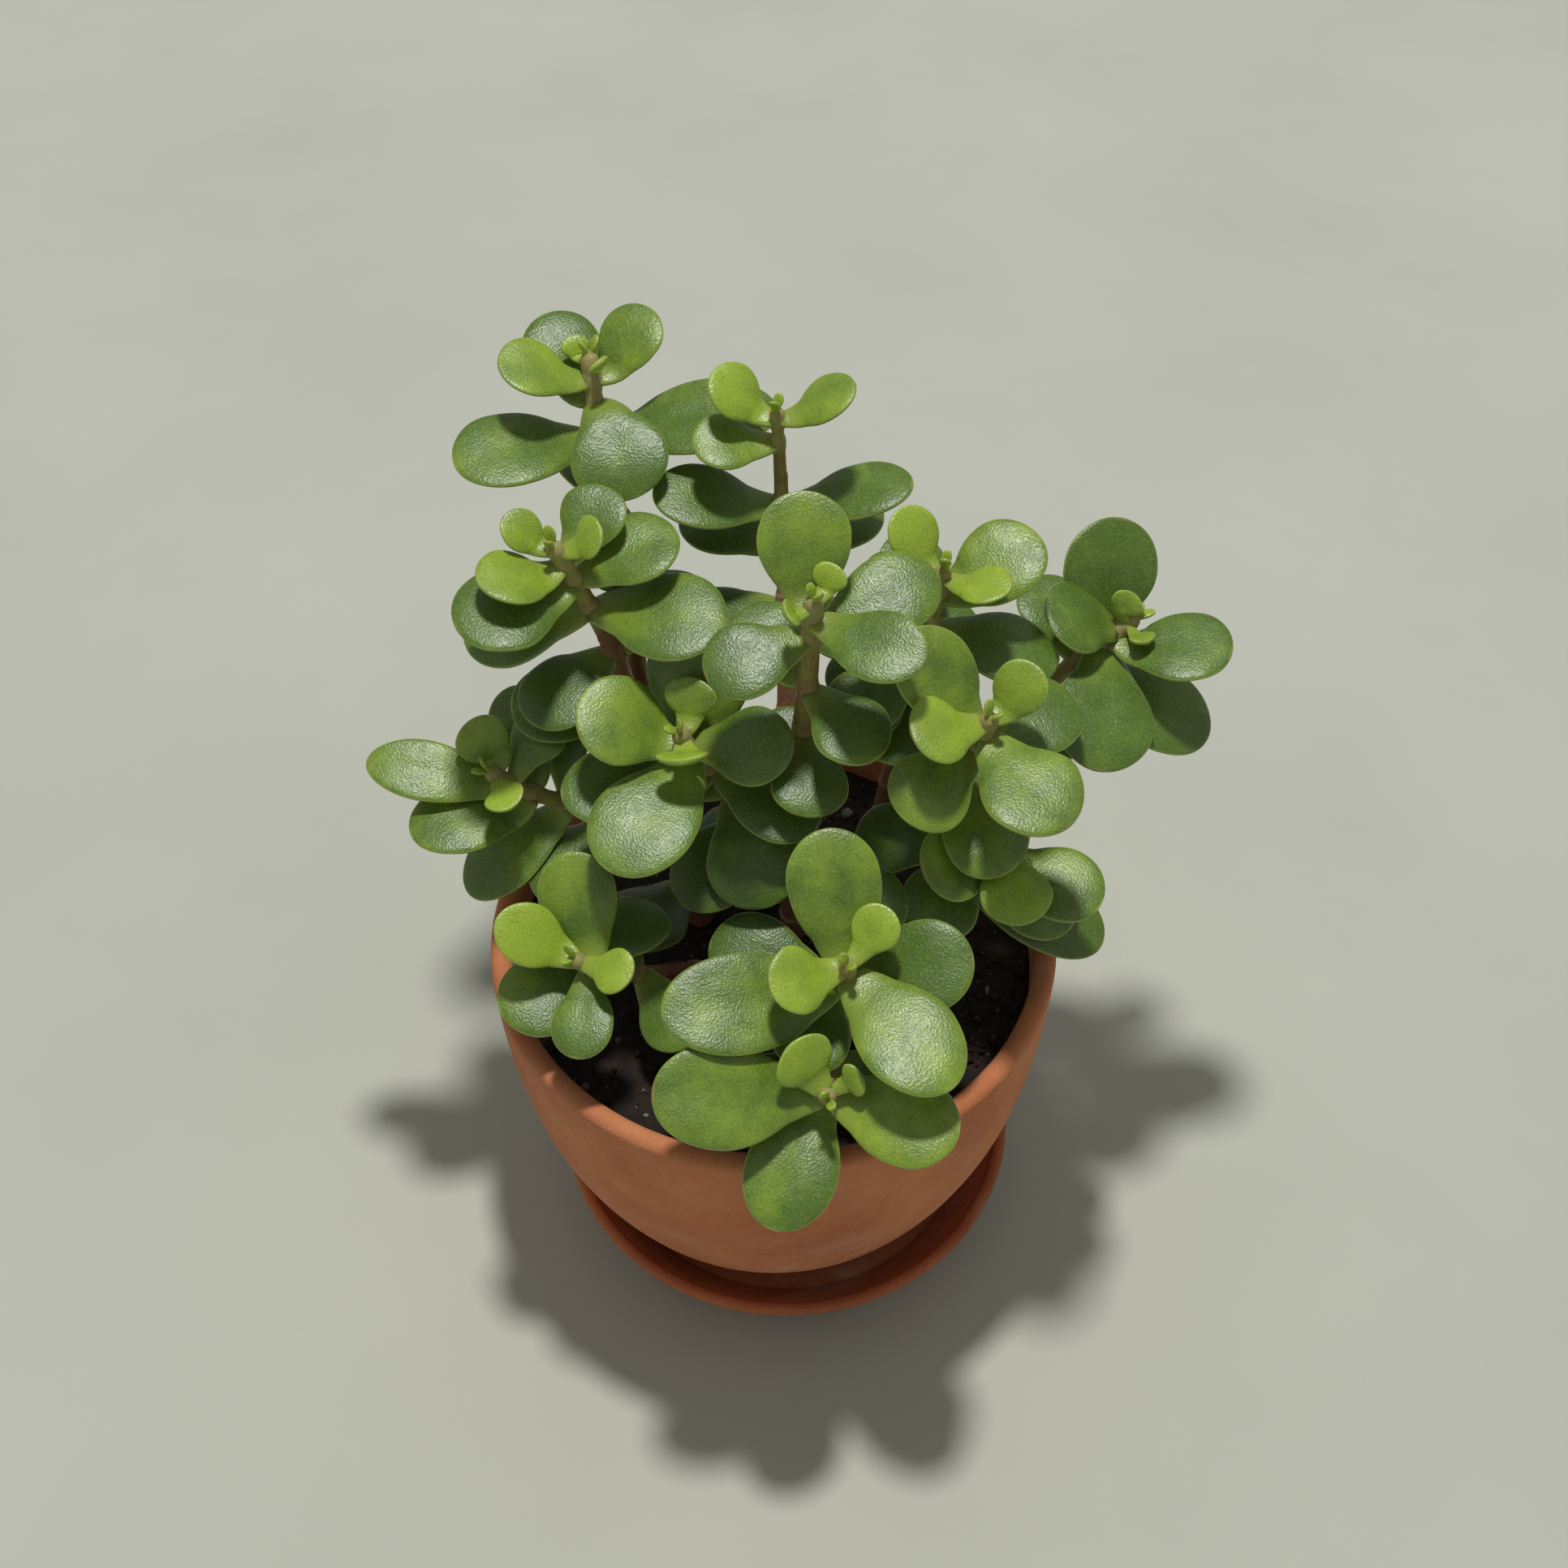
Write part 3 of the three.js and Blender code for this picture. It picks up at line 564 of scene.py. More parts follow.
def jade_leaf(leaf):
    """A jade leaf: thick, water-filled and waxy. The wax gives a satin gloss over a fine granular
    skin, light goes a little way in, pale dots of water pores lie about 1 mm apart, and the edge
    has a thin pale line. It goes from yellow-green to dark bluish green with age."""
    material, tree, shader, place = new_material(
        "waxy_jade_leaf", IOR=1.45, Specular_IOR_Level=0.75, Subsurface_Weight=0.14,
        Subsurface_Radius=(0.35, 1.0, 0.12), Subsurface_Scale=1.6 * MM,
    )
    trait = add(tree, "ShaderNodeAttribute", attribute_name="leaf")
    parts = add(tree, "ShaderNodeSeparateColor", {0: trait.outputs["Color"]})
    rim, span, age = (parts.outputs[i] for i in range(3))
    tone = trait.outputs["Alpha"]
    cloud = ranged(tree, noise(tree, place, 9, 3), 0.3, 0.7, -0.16, 0.16)
    ageing = combined(tree, combined(tree, age, cloud), ranged(tree, tone, 0, 1, -0.1, 0.1))
    body = tinted(tree, leaf.young_colour[:], leaf.mature_colour[:], ageing, 0.02, 0.5)
    body = tinted(tree, body, leaf.old_colour[:], ageing, 0.5, 1.0)
    # Fine light and dark grain of the cells under the wax, about 0.5 mm.
    grain = noise(tree, place, 0.5, 3, 0.7)
    body = tinted(tree, body, leaf.margin_colour[:], grain, 0.5, 0.75, 0.3)
    body = tinted(tree, body, leaf.old_colour[:], grain, 0.48, 0.25, 0.5)
    # Water pores: pale dots 1.1 mm apart, drawn 0.25 mm wide so that they show.
    body = tinted(tree, body, leaf.margin_colour[:], cells(tree, place, 1.1), 0.17, 0.09, 0.4)
    body = tinted(tree, body, leaf.stalk_colour[:], span, 0.2, 0.02, 0.6, smooth=True)
    # The margin, a line 0.35 mm wide, with a brown blush at some tips.
    body = tinted(tree, body, leaf.margin_colour[:], rim, 0.12, 0.04, 0.6)
    blush = combined(tree, ranged(tree, span, 0.965, 1.0), ranged(tree, tone, 0.45, 0.9), "MULTIPLY")
    body = mixed(tree, combined(tree, blush, 0.7, "MULTIPLY"), body, leaf.tip_colour[:])
    sockets = {"Base Color": body}
    sockets["Roughness"] = ranged(tree, noise(tree, place, 2.2, 3), 0.3, 0.7, 0.27, 0.4)
    swells, skin = noise(tree, place, 5, 2), cells(tree, place, 0.5)
    surfaced(tree, shader, sockets, (swells, 0.11), (skin, 0.06), (grain, 0.07))
    return material


def studio_floor(stage):
    """Pale matt painted board, faintly clouded."""
    material, tree, shader, place = new_material(
        "matt_painted_board", IOR=1.45, Specular_IOR_Level=0.15, Roughness=0.85
    )
    pale = stage.floor_colour[:]
    body = tinted(tree, pale, darker(pale, 0.93), noise(tree, place, 160, 4), 0.35, 0.7)
    surfaced(tree, shader, {"Base Color": body}, (noise(tree, place, 1.2, 3), 0.05))
    return material


# ---- pot, saucer and soil --------------------------------------------------------------------

CLAY_SIDES, SOIL_SIDES = 224, 200  # faces round a turned piece
POT_EDGE = 1 * MM  # radius of the pot's small edges, at its foot and its drain hole
POT_CORNER = 3 * MM  # radius inside, where the pot's floor meets its wall
SAUCER_CORNER = 2 * MM  # radius where the saucer's floor meets its wall
WALL_START = np.array([-0.06, 0.66])  # where its wall leaves that corner, in corner radii
AXIS_HOLE = 0.5 * MM  # radius of a capped piece's first ring
CRUMB_ROWS, CRUMB_COLUMNS = 4, 6
CRUMB_FLATNESS = 0.75  # height of a crumb over its width
LARGEST_CRUMB = 2.2  # in usual crumb sizes


class Wall(NamedTuple):
    """The pot's outer wall, measured from its solid's box: radius as a function of height."""

    centre: tuple
    foot: float
    height: float
    rim_radius: float
    foot_radius: float
    fullness: float

    def radius(self, height):
        """Rim radius, less a share that grows as a power of the depth below the rim."""
        depth = np.clip(1 - np.asarray(height) / self.height, 0, 1)
        return self.rim_radius - (self.rim_radius - self.foot_radius) * depth**self.fullness


def pot_wall(clay):
    """The pot's wall, from its solid's box and the clay settings."""
    centre, rim_radius, low, high = round_box("pot")
    return Wall(centre, low, high - low, rim_radius, clay.foot_radius, clay.fullness)


def uneven(grid, centre, amount, seed):
    """A turned grid pushed in and out a little, as clay is after drying and firing."""
    outward = grid - np.array([*centre, 0])
    outward[..., 2] = 0
    outward /= np.maximum(np.linalg.norm(outward, axis=-1, keepdims=True), 1 * MM)
    slow = lattice_noise(grid, 34 * MM, seed)
    quick = layered_noise(grid, 5 * MM, seed + 7)
    return grid + outward * ((slow * 0.8 + quick * 0.2) * amount)[..., None]


class JADE_OT_pot(bpy.types.Operator):
    """Makes the clay pot: a curved wall with a rounded lip, and a floor with a drain hole"""

    bl_idname = "jade.pot"
    bl_label = "Make pot"

    def execute(self, context):
        clay = context.scene.jade_clay
        wall = pot_wall(clay)
        top, thick, floor = wall.height, clay.pot_wall, clay.pot_floor
        outer_round, inner_round = clay.lip_round, clay.pot_wall - clay.lip_round
        outer = np.linspace(POT_EDGE, top - outer_round, 70)
        inner = np.linspace(top - inner_round, floor + POT_CORNER, 60)
        lip_middle = wall.radius(top - outer_round) - outer_round
        drain_edge = clay.drain_radius + POT_EDGE
        corner_middle = wall.radius(floor) - thick - POT_CORNER
        profile = np.vstack([
            level_line(drain_edge, clay.foot_radius - 2 * POT_EDGE, 0, 16),
            arc((clay.foot_radius - POT_EDGE, POT_EDGE), POT_EDGE, -90, -30, 4),
            np.column_stack([wall.radius(outer), outer]),
            arc((lip_middle, top - outer_round), outer_round, 15, 90, 8),
            arc((lip_middle, top - inner_round), inner_round, 98, 175, 9),
            np.column_stack([wall.radius(inner) - thick, inner]),
            arc((corner_middle, floor + POT_CORNER), POT_CORNER, -15, -90, 6),
            level_line(corner_middle - 2 * POT_EDGE, drain_edge, floor, 14),
            arc((drain_edge, floor - POT_EDGE), POT_EDGE, 120, 180, 3),
            arc((drain_edge, POT_EDGE), POT_EDGE, 180, 240, 3),
        ])
        profile[:, 1] += wall.foot
        grid = uneven(revolved(profile, wall.centre, CLAY_SIDES), wall.centre, 0.25 * MM, seed=3)
        faces = [ring_quads(*grid.shape[:2], ring_loop=True)]
        material = fired_clay(
            "unglazed_terracotta_pot", clay.pot_colour[:], clay.pot_dark[:], clay.bloom_colour[:],
            foot=wall.foot, bloom_height=0.75 * wall.height,
        )
        make_piece("clay_pot", grid.reshape(-1, 3), faces, material, ["pot"])
        return {"FINISHED"}


class JADE_OT_saucer(bpy.types.Operator):
    """Makes the clay saucer: a flat floor and a wall that leans out to a rounded edge"""

    bl_idname = "jade.saucer"
    bl_label = "Make saucer"

    def execute(self, context):
        clay = context.scene.jade_clay
        centre, rim, low, high = round_box("saucer")
        height, wall, floor = high - low, clay.saucer_wall, clay.saucer_floor
        base = rim - clay.saucer_flare
        corner = SAUCER_CORNER
        lip = height - wall / 2
        outer_foot = np.array([base, 0]) + corner * WALL_START
        inner_foot = np.array([base - wall, floor]) + corner * WALL_START
        outer_lip, inner_lip = np.array([rim, lip]), np.array([rim - wall, lip])
        lean = np.linspace(0, 1, 14)[:, None]
        profile = np.vstack([
            level_line(AXIS_HOLE, base - 2 * corner, 0, 18),
            arc((base - corner, corner), corner, -90, -45, 4),
            outer_foot + (outer_lip - outer_foot) * lean,
            arc((rim - wall / 2, lip), wall / 2, 12, 168, 12),
            inner_lip + (inner_foot - inner_lip) * lean,
            arc((base - wall - corner, floor + corner), corner, -45, -90, 4),
            level_line(base - wall - 2 * corner, AXIS_HOLE, floor, 18),
        ])
        profile[:, 1] += low
        grid = uneven(revolved(profile, centre, CLAY_SIDES), centre, 0.2 * MM, seed=11)
        points, faces = capped(grid)
        material = fired_clay(
            "unglazed_terracotta_saucer", clay.saucer_colour[:], clay.saucer_dark[:],
            clay.bloom_colour[:], foot=low, bloom_height=height,
        )
        make_piece("clay_saucer", points, faces, material, ["saucer"])
        return {"FINISHED"}


class SoilTop(NamedTuple):
    """Height of the soil's surface: a low dome with lumps."""

    centre: tuple
    radius: float
    crown: float
    edge_drop: float
    lump: float

    def height(self, x, y):
        """Crown height, less the drop times the squared share of the way out, plus noise."""
        out = np.hypot(x - self.centre[0], y - self.centre[1]) / self.radius
        flat = np.stack([x, y, np.zeros_like(x)], axis=-1)
        lumps = layered_noise(flat, 7 * MM, 21, layers=4) * self.lump
        return self.crown - self.lump * 0.4 - self.edge_drop * out**2 + lumps


def soil_top(soil):
    """The soil's surface, from its solid's box and the soil settings."""
    centre, radius, _, high = round_box("soil")
    return SoilTop(centre, radius, high, soil.edge_drop, soil.lump_height)


def crumb_grid(places, sizes, random):
    """One small rounded stone for each place: a sphere in rings, pressed flat, turned and
    dented by a random share for each point."""
    count, rows, columns = len(places), CRUMB_ROWS, CRUMB_COLUMNS
    polar = np.linspace(0.16, 0.84, rows)[:, None] * np.pi
    turn = np.linspace(0, 2 * np.pi, columns, endpoint=False)[None, :]
    ball = np.stack(np.broadcast_arrays(
        np.sin(polar) * np.cos(turn), np.sin(polar) * np.sin(turn), np.cos(polar)
    ), axis=-1)
    dents = 1 + random.uniform(-0.22, 0.22, (count, rows, columns, 1))
    stretch = random.uniform(0.55, 1.25, (count, 1, 1, 3)) * [1, 1, CRUMB_FLATNESS]
    local = ball[None] * dents * stretch * (sizes / 2)[:, None, None, None]
    angle = random.uniform(0, 2 * np.pi, (count, 1, 1))
    x = local[..., 0] * np.cos(angle) - local[..., 1] * np.sin(angle)
    y = local[..., 0] * np.sin(angle) + local[..., 1] * np.cos(angle)
    return np.stack([x, y, local[..., 2]], axis=-1) + places[:, None, None, :]


class JADE_OT_soil(bpy.types.Operator):
    """Makes the soil: a lumpy surface with sides down to its solid's foot, and loose crumbs"""

    bl_idname = "jade.soil"
    bl_label = "Make soil"

    def execute(self, context):
        soil = context.scene.jade_soil
        material = damp_peat(soil)
        top = soil_top(soil)
        wall = pot_wall(context.scene.jade_clay)
        gap = context.scene.jade_clay.pot_wall + 0.4 * MM
        low = round_box("soil")[2]
        rings = np.linspace(1, 0.005, 80)
        heights = np.linspace(low, top.crown - soil.edge_drop - 2 * MM, 20)
        sides = wall.radius(heights - wall.foot) - gap
        edge = wall.radius(top.crown - soil.edge_drop - wall.foot) - gap
        profile = np.vstack([
            np.column_stack([sides, heights]),
            np.column_stack([rings * edge, np.full(len(rings), top.crown)]),
        ])
        grid = revolved(profile, top.centre, SOIL_SIDES)
        surface = grid[len(heights):]
        surface[..., 2] = top.height(surface[..., 0], surface[..., 1])
        points, faces = capped(grid)
        make_piece("soil_bed", points, faces, material, ["soil"])
        self.scatter(soil, top, edge, material)
        return {"FINISHED"}

    def scatter(self, soil, top, edge, material):
        """Lays loose crumbs on the surface, each a third sunk in."""
        random = np.random.default_rng(5)
        out = np.sqrt(random.uniform(0, 1, soil.crumbs)) * (edge - 1.5 * MM)
        turn = random.uniform(0, 2 * np.pi, soil.crumbs)
        x, y = top.centre[0] + out * np.cos(turn), top.centre[1] + out * np.sin(turn)
        sizes = soil.crumb_size * random.lognormal(0, 0.45, soil.crumbs)
        sizes = np.minimum(sizes, LARGEST_CRUMB * soil.crumb_size)
        places = np.column_stack([x, y, top.height(x, y) + sizes * 0.15])
        grids = crumb_grid(places, sizes, random)
        count, rows, columns = grids.shape[:3]
        each = rows * columns + 2
        points = np.concatenate([
            grids.reshape(count, -1, 3), grids[:, :1].mean(2), grids[:, -1:].mean(2)
        ], axis=1)
        offset = np.arange(count)[:, None, None] * each
        faces = [(group + offset).reshape(-1, group.shape[1]) for group in capped(grids[0])[1]]
        tone = np.repeat(random.uniform(0, 1, count), each)
        trait = np.repeat(tone[:, None], 4, axis=1)
        make_piece(
            "soil_crumbs", points.reshape(-1, 3), faces, material, traits={"crumb": trait}
        )


# ---- stems -----------------------------------------------------------------------------------

SKIN_OUT = 0.3 * MM  # puts back what the smoothing takes off a stem
SCAR_HEIGHT = 0.3 * MM
RIDGE_HEIGHT = 0.22 * MM  # of the bark's lengthways ridges
JOINT_REACH = (1.2 * MM, 3.4 * MM)  # where a joint's swelling starts to fall off, and ends


def rounded_skin(node, detail):
    """Points, normals and faces of a CAD node with its corners melted: its merged solid is
    remade in cubes of the given size, and smoothed."""
    points, triangles = merged(node)
    mesh = bpy.data.meshes.new("rough_stem")
    mesh.from_pydata(points, [], triangles.tolist())
    rough = bpy.data.objects.new("rough_stem", mesh)
    bpy.context.scene.collection.objects.link(rough)
    remesh = rough.modifiers.new("skin", "REMESH")
    remesh.mode = "VOXEL"
    remesh.voxel_size = detail
    smooth = rough.modifiers.new("melt", "SMOOTH")
    smooth.factor = 0.5
    smooth.iterations = 14
    evaluated = rough.evaluated_get(bpy.context.evaluated_depsgraph_get())
    made = evaluated.to_mesh()
    places, normals = (np.zeros(len(made.vertices) * 3) for _ in range(2))
    corners = np.zeros(len(made.loops), int)
    made.vertices.foreach_get("co", places)
    made.vertex_normals.foreach_get("vector", normals)
    made.loops.foreach_get("vertex_index", corners)
    if len(corners) != 4 * len(made.polygons):
        raise RuntimeError(f"the skin of {node} isn't all quads")
    evaluated.to_mesh_clear()
    bpy.data.objects.remove(rough)
    bpy.data.meshes.remove(mesh)
    return places.reshape(-1, 3), normals.reshape(-1, 3), corners.reshape(-1, 4)


class JADE_OT_stems(bpy.types.Operator):
    """Makes the stems, swollen where leaves grow and ringed by scars where they have fallen"""

    bl_idname = "jade.stems"
    bl_label = "Make stems"

    def execute(self, context):
        stem = context.scene.jade_stem
        stems = Stems()
        material = living_bark(stem)
        joints = np.array([
            stems.nearest(leaf.base) for node in LEAF_NODES for leaf in measured_leaves(node)
        ])
        tips = np.array([tip.place for tip in stems.tips])
        for node in STEM_NODES:
            points, normals, faces = rounded_skin(node, stem.detail)
            to_tip = np.linalg.norm(points[:, None] - tips, axis=-1).min(1)
            to_joint = np.linalg.norm(points[:, None] - joints, axis=-1).min(1)
            age = np.clip(to_tip / stem.wood_age, 0, 1)
            joint = 1 - smooth_step(*JOINT_REACH, to_joint)
            wander = lattice_noise(points, 9 * MM, 31) * 2.5 * MM
            beat = np.cos(2 * np.pi * (points[:, 2] + wander) / stem.scar_spacing)
            scar = smooth_step(0.86, 1.0, beat) * smooth_step(0.3, 0.6, age)
            ridged = layered_noise(points * [1, 1, 0.3], 1.6 * MM, 33) * age * RIDGE_HEIGHT
            swell = SKIN_OUT + joint * stem.joint_swell + scar * SCAR_HEIGHT + ridged
            points = points + normals * swell[:, None]
            ring = np.clip(joint * 0.8 + scar, 0, 1)
            trait = np.column_stack([age, ring, np.zeros_like(age), np.ones_like(age)])
            name = node.replace("stem_", "bark_")
            make_piece(name, points, [faces], material, [node], {"bark": trait})
        return {"FINISHED"}


# ---- leaves ----------------------------------------------------------------------------------

TIP_CROWDING = 1.55  # power that crowds a leaf's rows towards its tip
LAST_ROW = 0.9992  # the last row's place along the leaf
BOW = 0.05  # rise of the middle line, as a share of the leaf's length
JOINED = 0.16  # where the curve from the stem meets the middle line
EDGE_WAVER = 0.02  # how far the edge wavers, as a share of the half-width
USUAL_WIDTH = 18 * MM  # the width that the thickness setting is for
ABOVE_POWER, ABOVE_SHARE = 0.82, 0.44  # of the section above the leaf's middle plane
BELOW_POWER, BELOW_SHARE = 0.9, 0.56
CHANNEL_DEPTH, CHANNEL_WIDTH = 0.1, 0.22  # in thicknesses, and in half-widths
DENT = 0.12 * MM  # unevenness of a leaf's skin
RIM_UNIT = 3 * MM  # the distance from the edge that the rim trait counts as 1
ROOT_DEPTH = 0.8 * MM  # how far a leaf reaches inside its stem
BUD_SPREAD = 0.42  # slope of a bud's leaves away from the stem's axis
BUD_SINK, BUD_ASIDE, BUD_ROOT = 0.9 * MM, 0.5 * MM, 0.6 * MM  # where they grow, from the tip
SMALLER_BUD, BUD_WIDTH = 0.86, 0.62  # in lengths of the larger one, and in its own length


class Habit(NamedTuple):
    """What makes one leaf differ from the next."""

    age: float
    tone: float
    taper: float
    blunt: float
    twist: float
    sweep: float
    curl: float
    seed: int


def leaf_habit(age, random):
    """Young leaves are spoon-shaped with raised edges, and old ones are flat or bent over."""
    return Habit(
        age=age,
        tone=random.uniform(0, 1),
        taper=random.uniform(0.74, 0.98) + 0.12 * (1 - age),
        blunt=random.uniform(1.75, 2.2),
        twist=random.normal(0, 0.09),
        sweep=random.normal(0, 0.018),
        curl=0.13 * (1 - age) - 0.05 * age + random.normal(0, 0.03),
        seed=int(random.integers(1, 10000)),
    )


def blade(leaf, root, habit, settings):
    """Grid of points over one leaf, from inside the stem to the tip, and each point's traits.

    Along the leaf, s goes from 0 to 1. The middle line is a straight span with a bow of
    4 s (1 - s), and near the stem a quadratic curve from the root. The half-width climbs from
    the stalk as a quarter of a sine wave and falls to the tip as a quarter of a superellipse.
    Round the leaf, an angle draws a section with rounded edges, fuller below than above."""
    t = np.linspace(0, 1, settings.rows)[:, None]
    s = np.minimum(1 - (1 - t) ** TIP_CROWDING, LAST_ROW)
    angle = np.linspace(0, 2 * np.pi, settings.columns, endpoint=False)[None, :]

    sideways = habit.sweep * leaf.length * np.sin(np.pi * s)
    line = leaf.base + s * leaf.length * leaf.along
    line = line + BOW * leaf.length * 4 * s * (1 - s) * leaf.up + sideways * leaf.across
    start = np.searchsorted(s[:, 0], JOINED)
    share = np.clip(s / JOINED, 0, 1)
    curve = (1 - share) ** 2 * root + 2 * share * (1 - share) * leaf.base + share**2 * line[start]
    line = np.where(s < JOINED, curve, line)

    climb = settings.stalk + (1 - settings.stalk) * np.sin(
        np.pi / 2 * np.clip(s / settings.widest, 0, 1) ** habit.taper
    )
    beyond = np.clip((s - settings.widest) / (1 - settings.widest), 0, 1)
    fall = (1 - beyond**habit.blunt) ** 0.5
    half = leaf.width / 2 * np.where(s < settings.widest, climb, fall)
    # Noise along each of the two edges.
    edges = np.broadcast_arrays(4 * s, np.sign(np.cos(angle)), 0.0)
    half = half * (1 + EDGE_WAVER * lattice_noise(np.stack(edges, axis=-1), 1.0, habit.seed))

    thick = settings.thickness * math.sqrt(leaf.width / USUAL_WIDTH)
    body = (0.74 + 0.26 * np.sin(np.pi * s)) * np.where(s < settings.widest, 1, np.sqrt(fall))
    side = np.sin(angle)
    above = np.clip(side, 0, 1) ** ABOVE_POWER * ABOVE_SHARE
    below = np.clip(-side, 0, 1) ** BELOW_POWER * BELOW_SHARE
    height = thick * body * (above - below)
    out = np.cos(angle)
    grown = smooth_step(0.05, 0.4, s)
    height = height + habit.curl * half * (out**2 - 0.35) * grown
    # A shallow channel runs up the middle of the upper side, from the stalk.
    channel = CHANNEL_DEPTH * thick * np.exp(-((out / CHANNEL_WIDTH) ** 2)) * (side > 0)
    height = height - channel * (1 - s) * grown

    forward = unit(np.gradient(line, axis=0))
    across = unit(leaf.across - (forward @ leaf.across)[:, None] * forward)
    up = np.cross(forward, across)
    turn = habit.twist * s
    across, up = across * np.cos(turn) + up * np.sin(turn), up * np.cos(turn) - across * np.sin(turn)
    grid = line[:, None] + across[:, None] * (out * half)[..., None] + up[:, None] * height[..., None]
    grid = grid + up[:, None] * (lattice_noise(grid, 5 * MM, habit.seed) * DENT)[..., None]

    rim = np.minimum((1 - np.abs(out)) * half, (1 - s) * leaf.length * 0.6) / RIM_UNIT
    flat = np.ones_like(rim)
    trait = np.stack([np.clip(rim, 0, 1), s * flat, habit.age * flat, habit.tone * flat], axis=-1)
    return grid, trait


def bud(tip, beside, settings):
    """The two folded leaves at a growing tip, as leaves that stand almost along its axis."""
    across = unit(np.cross(tip.axis, beside))
    for side in (-1, 1):
        along = unit(tip.axis + side * BUD_SPREAD * across)
        flat = unit(np.cross(tip.axis, across))
        up = unit(np.cross(along, flat))
        up = up if up @ across * side < 0 else -up
        base = tip.place - tip.axis * BUD_SINK + side * across * BUD_ASIDE
        size = settings.bud_length * (1 if side > 0 else SMALLER_BUD)
        yield Leaf(base, along, np.cross(up, along), up, size, size * BUD_WIDTH), base - tip.axis * BUD_ROOT


class JADE_OT_leaves(bpy.types.Operator):
    """Makes the leaves, one piece for each joined pair, and the buds at the growing tips"""

    bl_idname = "jade.leaves"
    bl_label = "Make leaves"

    def execute(self, context):
        settings = context.scene.jade_leaf
        stems = Stems()
        material = jade_leaf(settings)
        for order, node in enumerate(LEAF_NODES):
            random = np.random.default_rng(100 + order)
            youngest = node.endswith("_1")
            blades = [self.grown(leaf, stems, settings, random) for leaf in measured_leaves(node)]
            if youngest:
                blades += self.buds(node, stems, settings, random)
            points, faces, traits = self.gathered(blades)
            name = node.replace("leaves_", "blades_")
            make_piece(name, points, faces, material, [node], {"leaf": traits})
        return {"FINISHED"}

    def grown(self, leaf, stems, settings, random):
        """One leaf's blade, rooted a little way inside its stem."""
        hold = stems.nearest(leaf.base)
        root = hold - unit(leaf.base - hold) * ROOT_DEPTH
        depth = stems.below_tip(hold) + random.normal(0, 1.5 * MM)
        age = 0.5 * smooth_step(0, settings.mature_from, depth)
        age += 0.5 * smooth_step(settings.mature_from, settings.old_from, depth)
        return blade(leaf, root, leaf_habit(float(age), random), settings)

    def buds(self, node, stems, settings, random):
        """The bud's blades at the growing tip that is nearest to the node's leaves."""
        leaves = measured_leaves(node)
        middle = np.mean([leaf.base for leaf in leaves], axis=0)
        tip = min(stems.tips, key=lambda t: np.linalg.norm(t.place - middle))
        beside = min(leaves, key=lambda leaf: leaf.length).along
        return [
            blade(leaf, root, leaf_habit(0.0, random), settings)
            for leaf, root in bud(tip, beside, settings)
        ]

    def gathered(self, blades):
        """Several blades as one set of points, faces and traits."""
        points, faces, traits = [], [], []
        for grid, trait in blades:
            skin, corners = capped(grid)
            start = sum(map(len, points))
            points.append(skin)
            faces += [group + start for group in corners]
            traits.append(np.vstack([trait.reshape(-1, 4), trait[0, :1], trait[-1, :1]]))
        return np.vstack(points), faces, np.vstack(traits)


# ---- stage -----------------------------------------------------------------------------------

LEAST_COSINE = 0.4  # the lamp's beam is divided by the cosine only down to here
CAMERA_ASIDE = 0.6 * MM  # how far left of the saucer's middle the camera looks


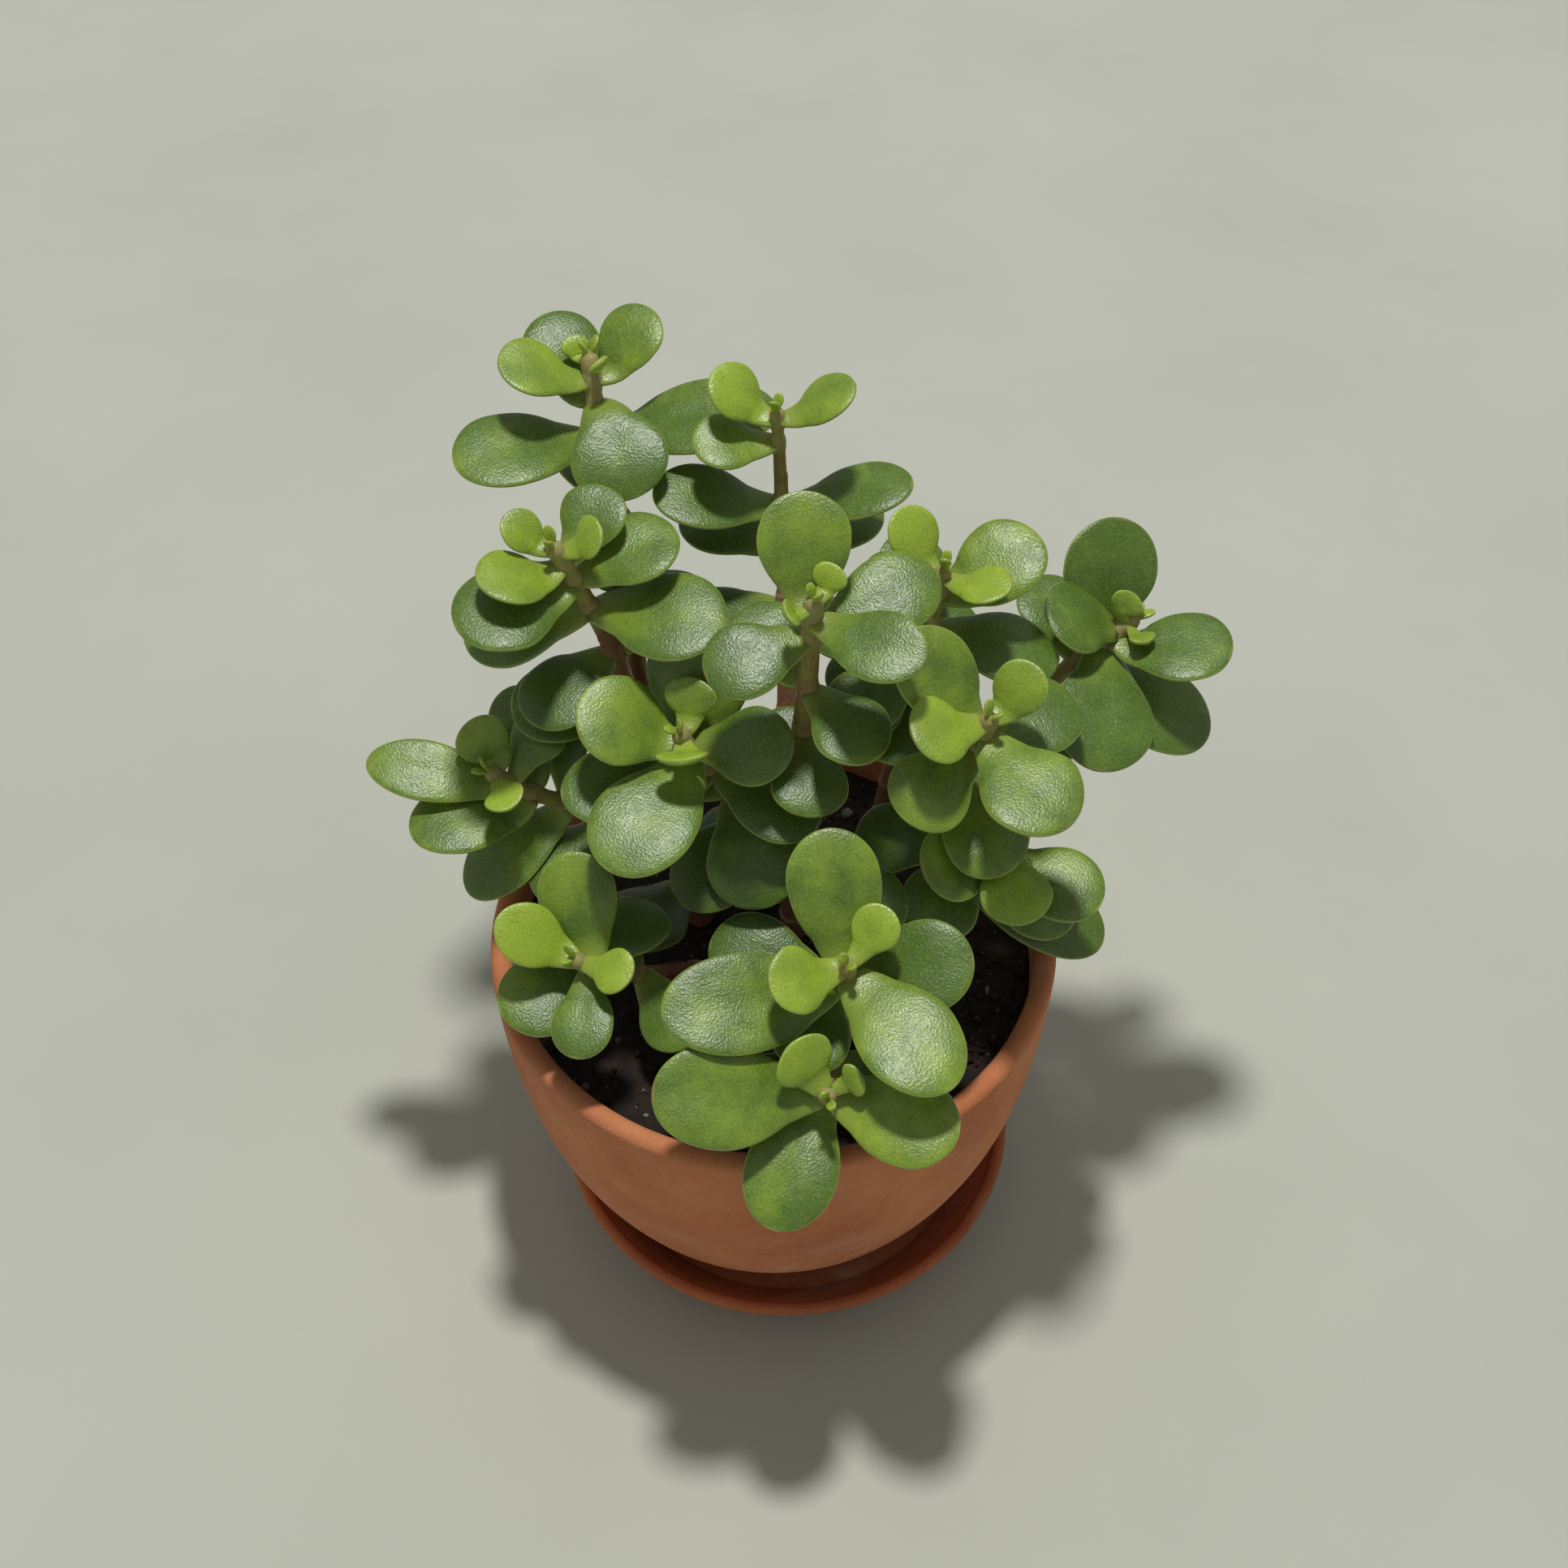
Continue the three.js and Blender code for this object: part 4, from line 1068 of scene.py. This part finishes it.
class JADE_OT_stage(bpy.types.Operator):
    """Makes the floor, the lamps and the camera"""

    bl_idname = "jade.stage"
    bl_label = "Make stage"

    def execute(self, context):
        stage = context.scene.jade_stage
        self.floor(stage)
        self.lights(context.scene, stage)
        self.camera(context.scene, stage)
        context.scene.view_settings.view_transform = "Standard"
        return {"FINISHED"}

    def floor(self, stage):
        """A square just under the saucer."""
        half = stage.floor_size / 2
        level = round_box("saucer")[2] - 0.05 * MM
        points = [(-half, -half, level), (half, -half, level), (half, half, level), (-half, half, level)]
        mesh = bpy.data.meshes.new("floor")
        mesh.from_pydata(points, [], [(0, 1, 2, 3)])
        mesh.materials.append(studio_floor(stage))
        floor = bpy.data.objects.new("floor", mesh)
        bpy.context.scene.collection.objects.link(floor)

    def lights(self, scene, stage):
        """A small round lamp overhead, and a pale room. The lamp keeps its strength with distance,
        and is brighter sideways than straight down by 1 over the cosine, within a limit, which keeps
        the floor even."""
        middle = round_box("pot")[0][0]
        lamp = bpy.data.lights.new("overhead_lamp", "POINT")
        lamp.shadow_soft_size = stage.lamp_size / 2
        lamp.energy = 1.0
        lamp.use_nodes = True
        tree = lamp.node_tree
        beam = add(tree, "ShaderNodeTexCoord").outputs["Normal"]
        down = add(tree, "ShaderNodeSeparateXYZ", {0: beam}).outputs["Z"]
        upright = add(tree, "ShaderNodeMath", {0: down}, operation="ABSOLUTE").outputs[0]
        cosine = combined(tree, upright, LEAST_COSINE, "MAXIMUM")
        spread = combined(tree, stage.lamp_strength, cosine, "DIVIDE")
        steady = add(tree, "ShaderNodeLightFalloff", {"Strength": spread}).outputs["Constant"]
        tree.links.new(steady, tree.nodes["Emission"].inputs["Strength"])
        held = bpy.data.objects.new("overhead_lamp", lamp)
        held.location = (middle, stage.lamp_forward, stage.lamp_height)
        scene.collection.objects.link(held)
        world = bpy.data.worlds.new("pale_room")
        world.use_nodes = True
        background = world.node_tree.nodes["Background"]
        background.inputs["Color"].default_value = stage.room_colour[:]
        background.inputs["Strength"].default_value = stage.room_strength
        scene.world = world

    def camera(self, scene, stage):
        """Looks along +Y and down at the plant."""
        aim = Vector((round_box("saucer")[0][0] - CAMERA_ASIDE, 0, stage.camera_aim))
        rise = stage.camera_elevation
        back = Vector((0, -math.cos(rise), math.sin(rise)))
        lens = bpy.data.cameras.new("camera")
        lens.lens = stage.lens
        lens.sensor_width = 36
        lens.clip_start, lens.clip_end = 10 * MM, 50
        camera = bpy.data.objects.new("camera", lens)
        camera.location = aim + back * stage.camera_distance
        camera.rotation_euler = (math.pi / 2 - rise, 0, 0)
        scene.collection.objects.link(camera)
        scene.camera = camera


# ---- add-on ----------------------------------------------------------------------------------


GROUPS = {
    "jade_clay": ClaySettings,
    "jade_soil": SoilSettings,
    "jade_stem": StemSettings,
    "jade_leaf": LeafSettings,
    "jade_stage": StageSettings,
}
OPERATORS = (JADE_OT_saucer, JADE_OT_pot, JADE_OT_soil, JADE_OT_stems, JADE_OT_leaves, JADE_OT_stage)


class JADE_PT_panel(bpy.types.Panel):
    """Lists the pieces and their settings."""

    bl_idname = "JADE_PT_panel"
    bl_label = "Jade plant"
    bl_space_type = "VIEW_3D"
    bl_region_type = "UI"
    bl_category = "Jade plant"

    def draw(self, context):
        for operator in OPERATORS:
            self.layout.operator(operator.bl_idname)
        for name, group in GROUPS.items():
            box = self.layout.box()
            for setting in group.__annotations__:
                box.prop(getattr(context.scene, name), setting)


CLASSES = (*GROUPS.values(), *OPERATORS, JADE_PT_panel)


def register():
    for each in CLASSES:
        bpy.utils.register_class(each)
    for name, group in GROUPS.items():
        setattr(bpy.types.Scene, name, PointerProperty(type=group))


def unregister():
    for name in GROUPS:
        delattr(bpy.types.Scene, name)
    for each in reversed(CLASSES):
        bpy.utils.unregister_class(each)


def main():
    register()
    for make in (
        bpy.ops.jade.saucer, bpy.ops.jade.pot, bpy.ops.jade.soil,
        bpy.ops.jade.stems, bpy.ops.jade.leaves, bpy.ops.jade.stage,
    ):
        make()


if __name__ == "__main__":
    main()
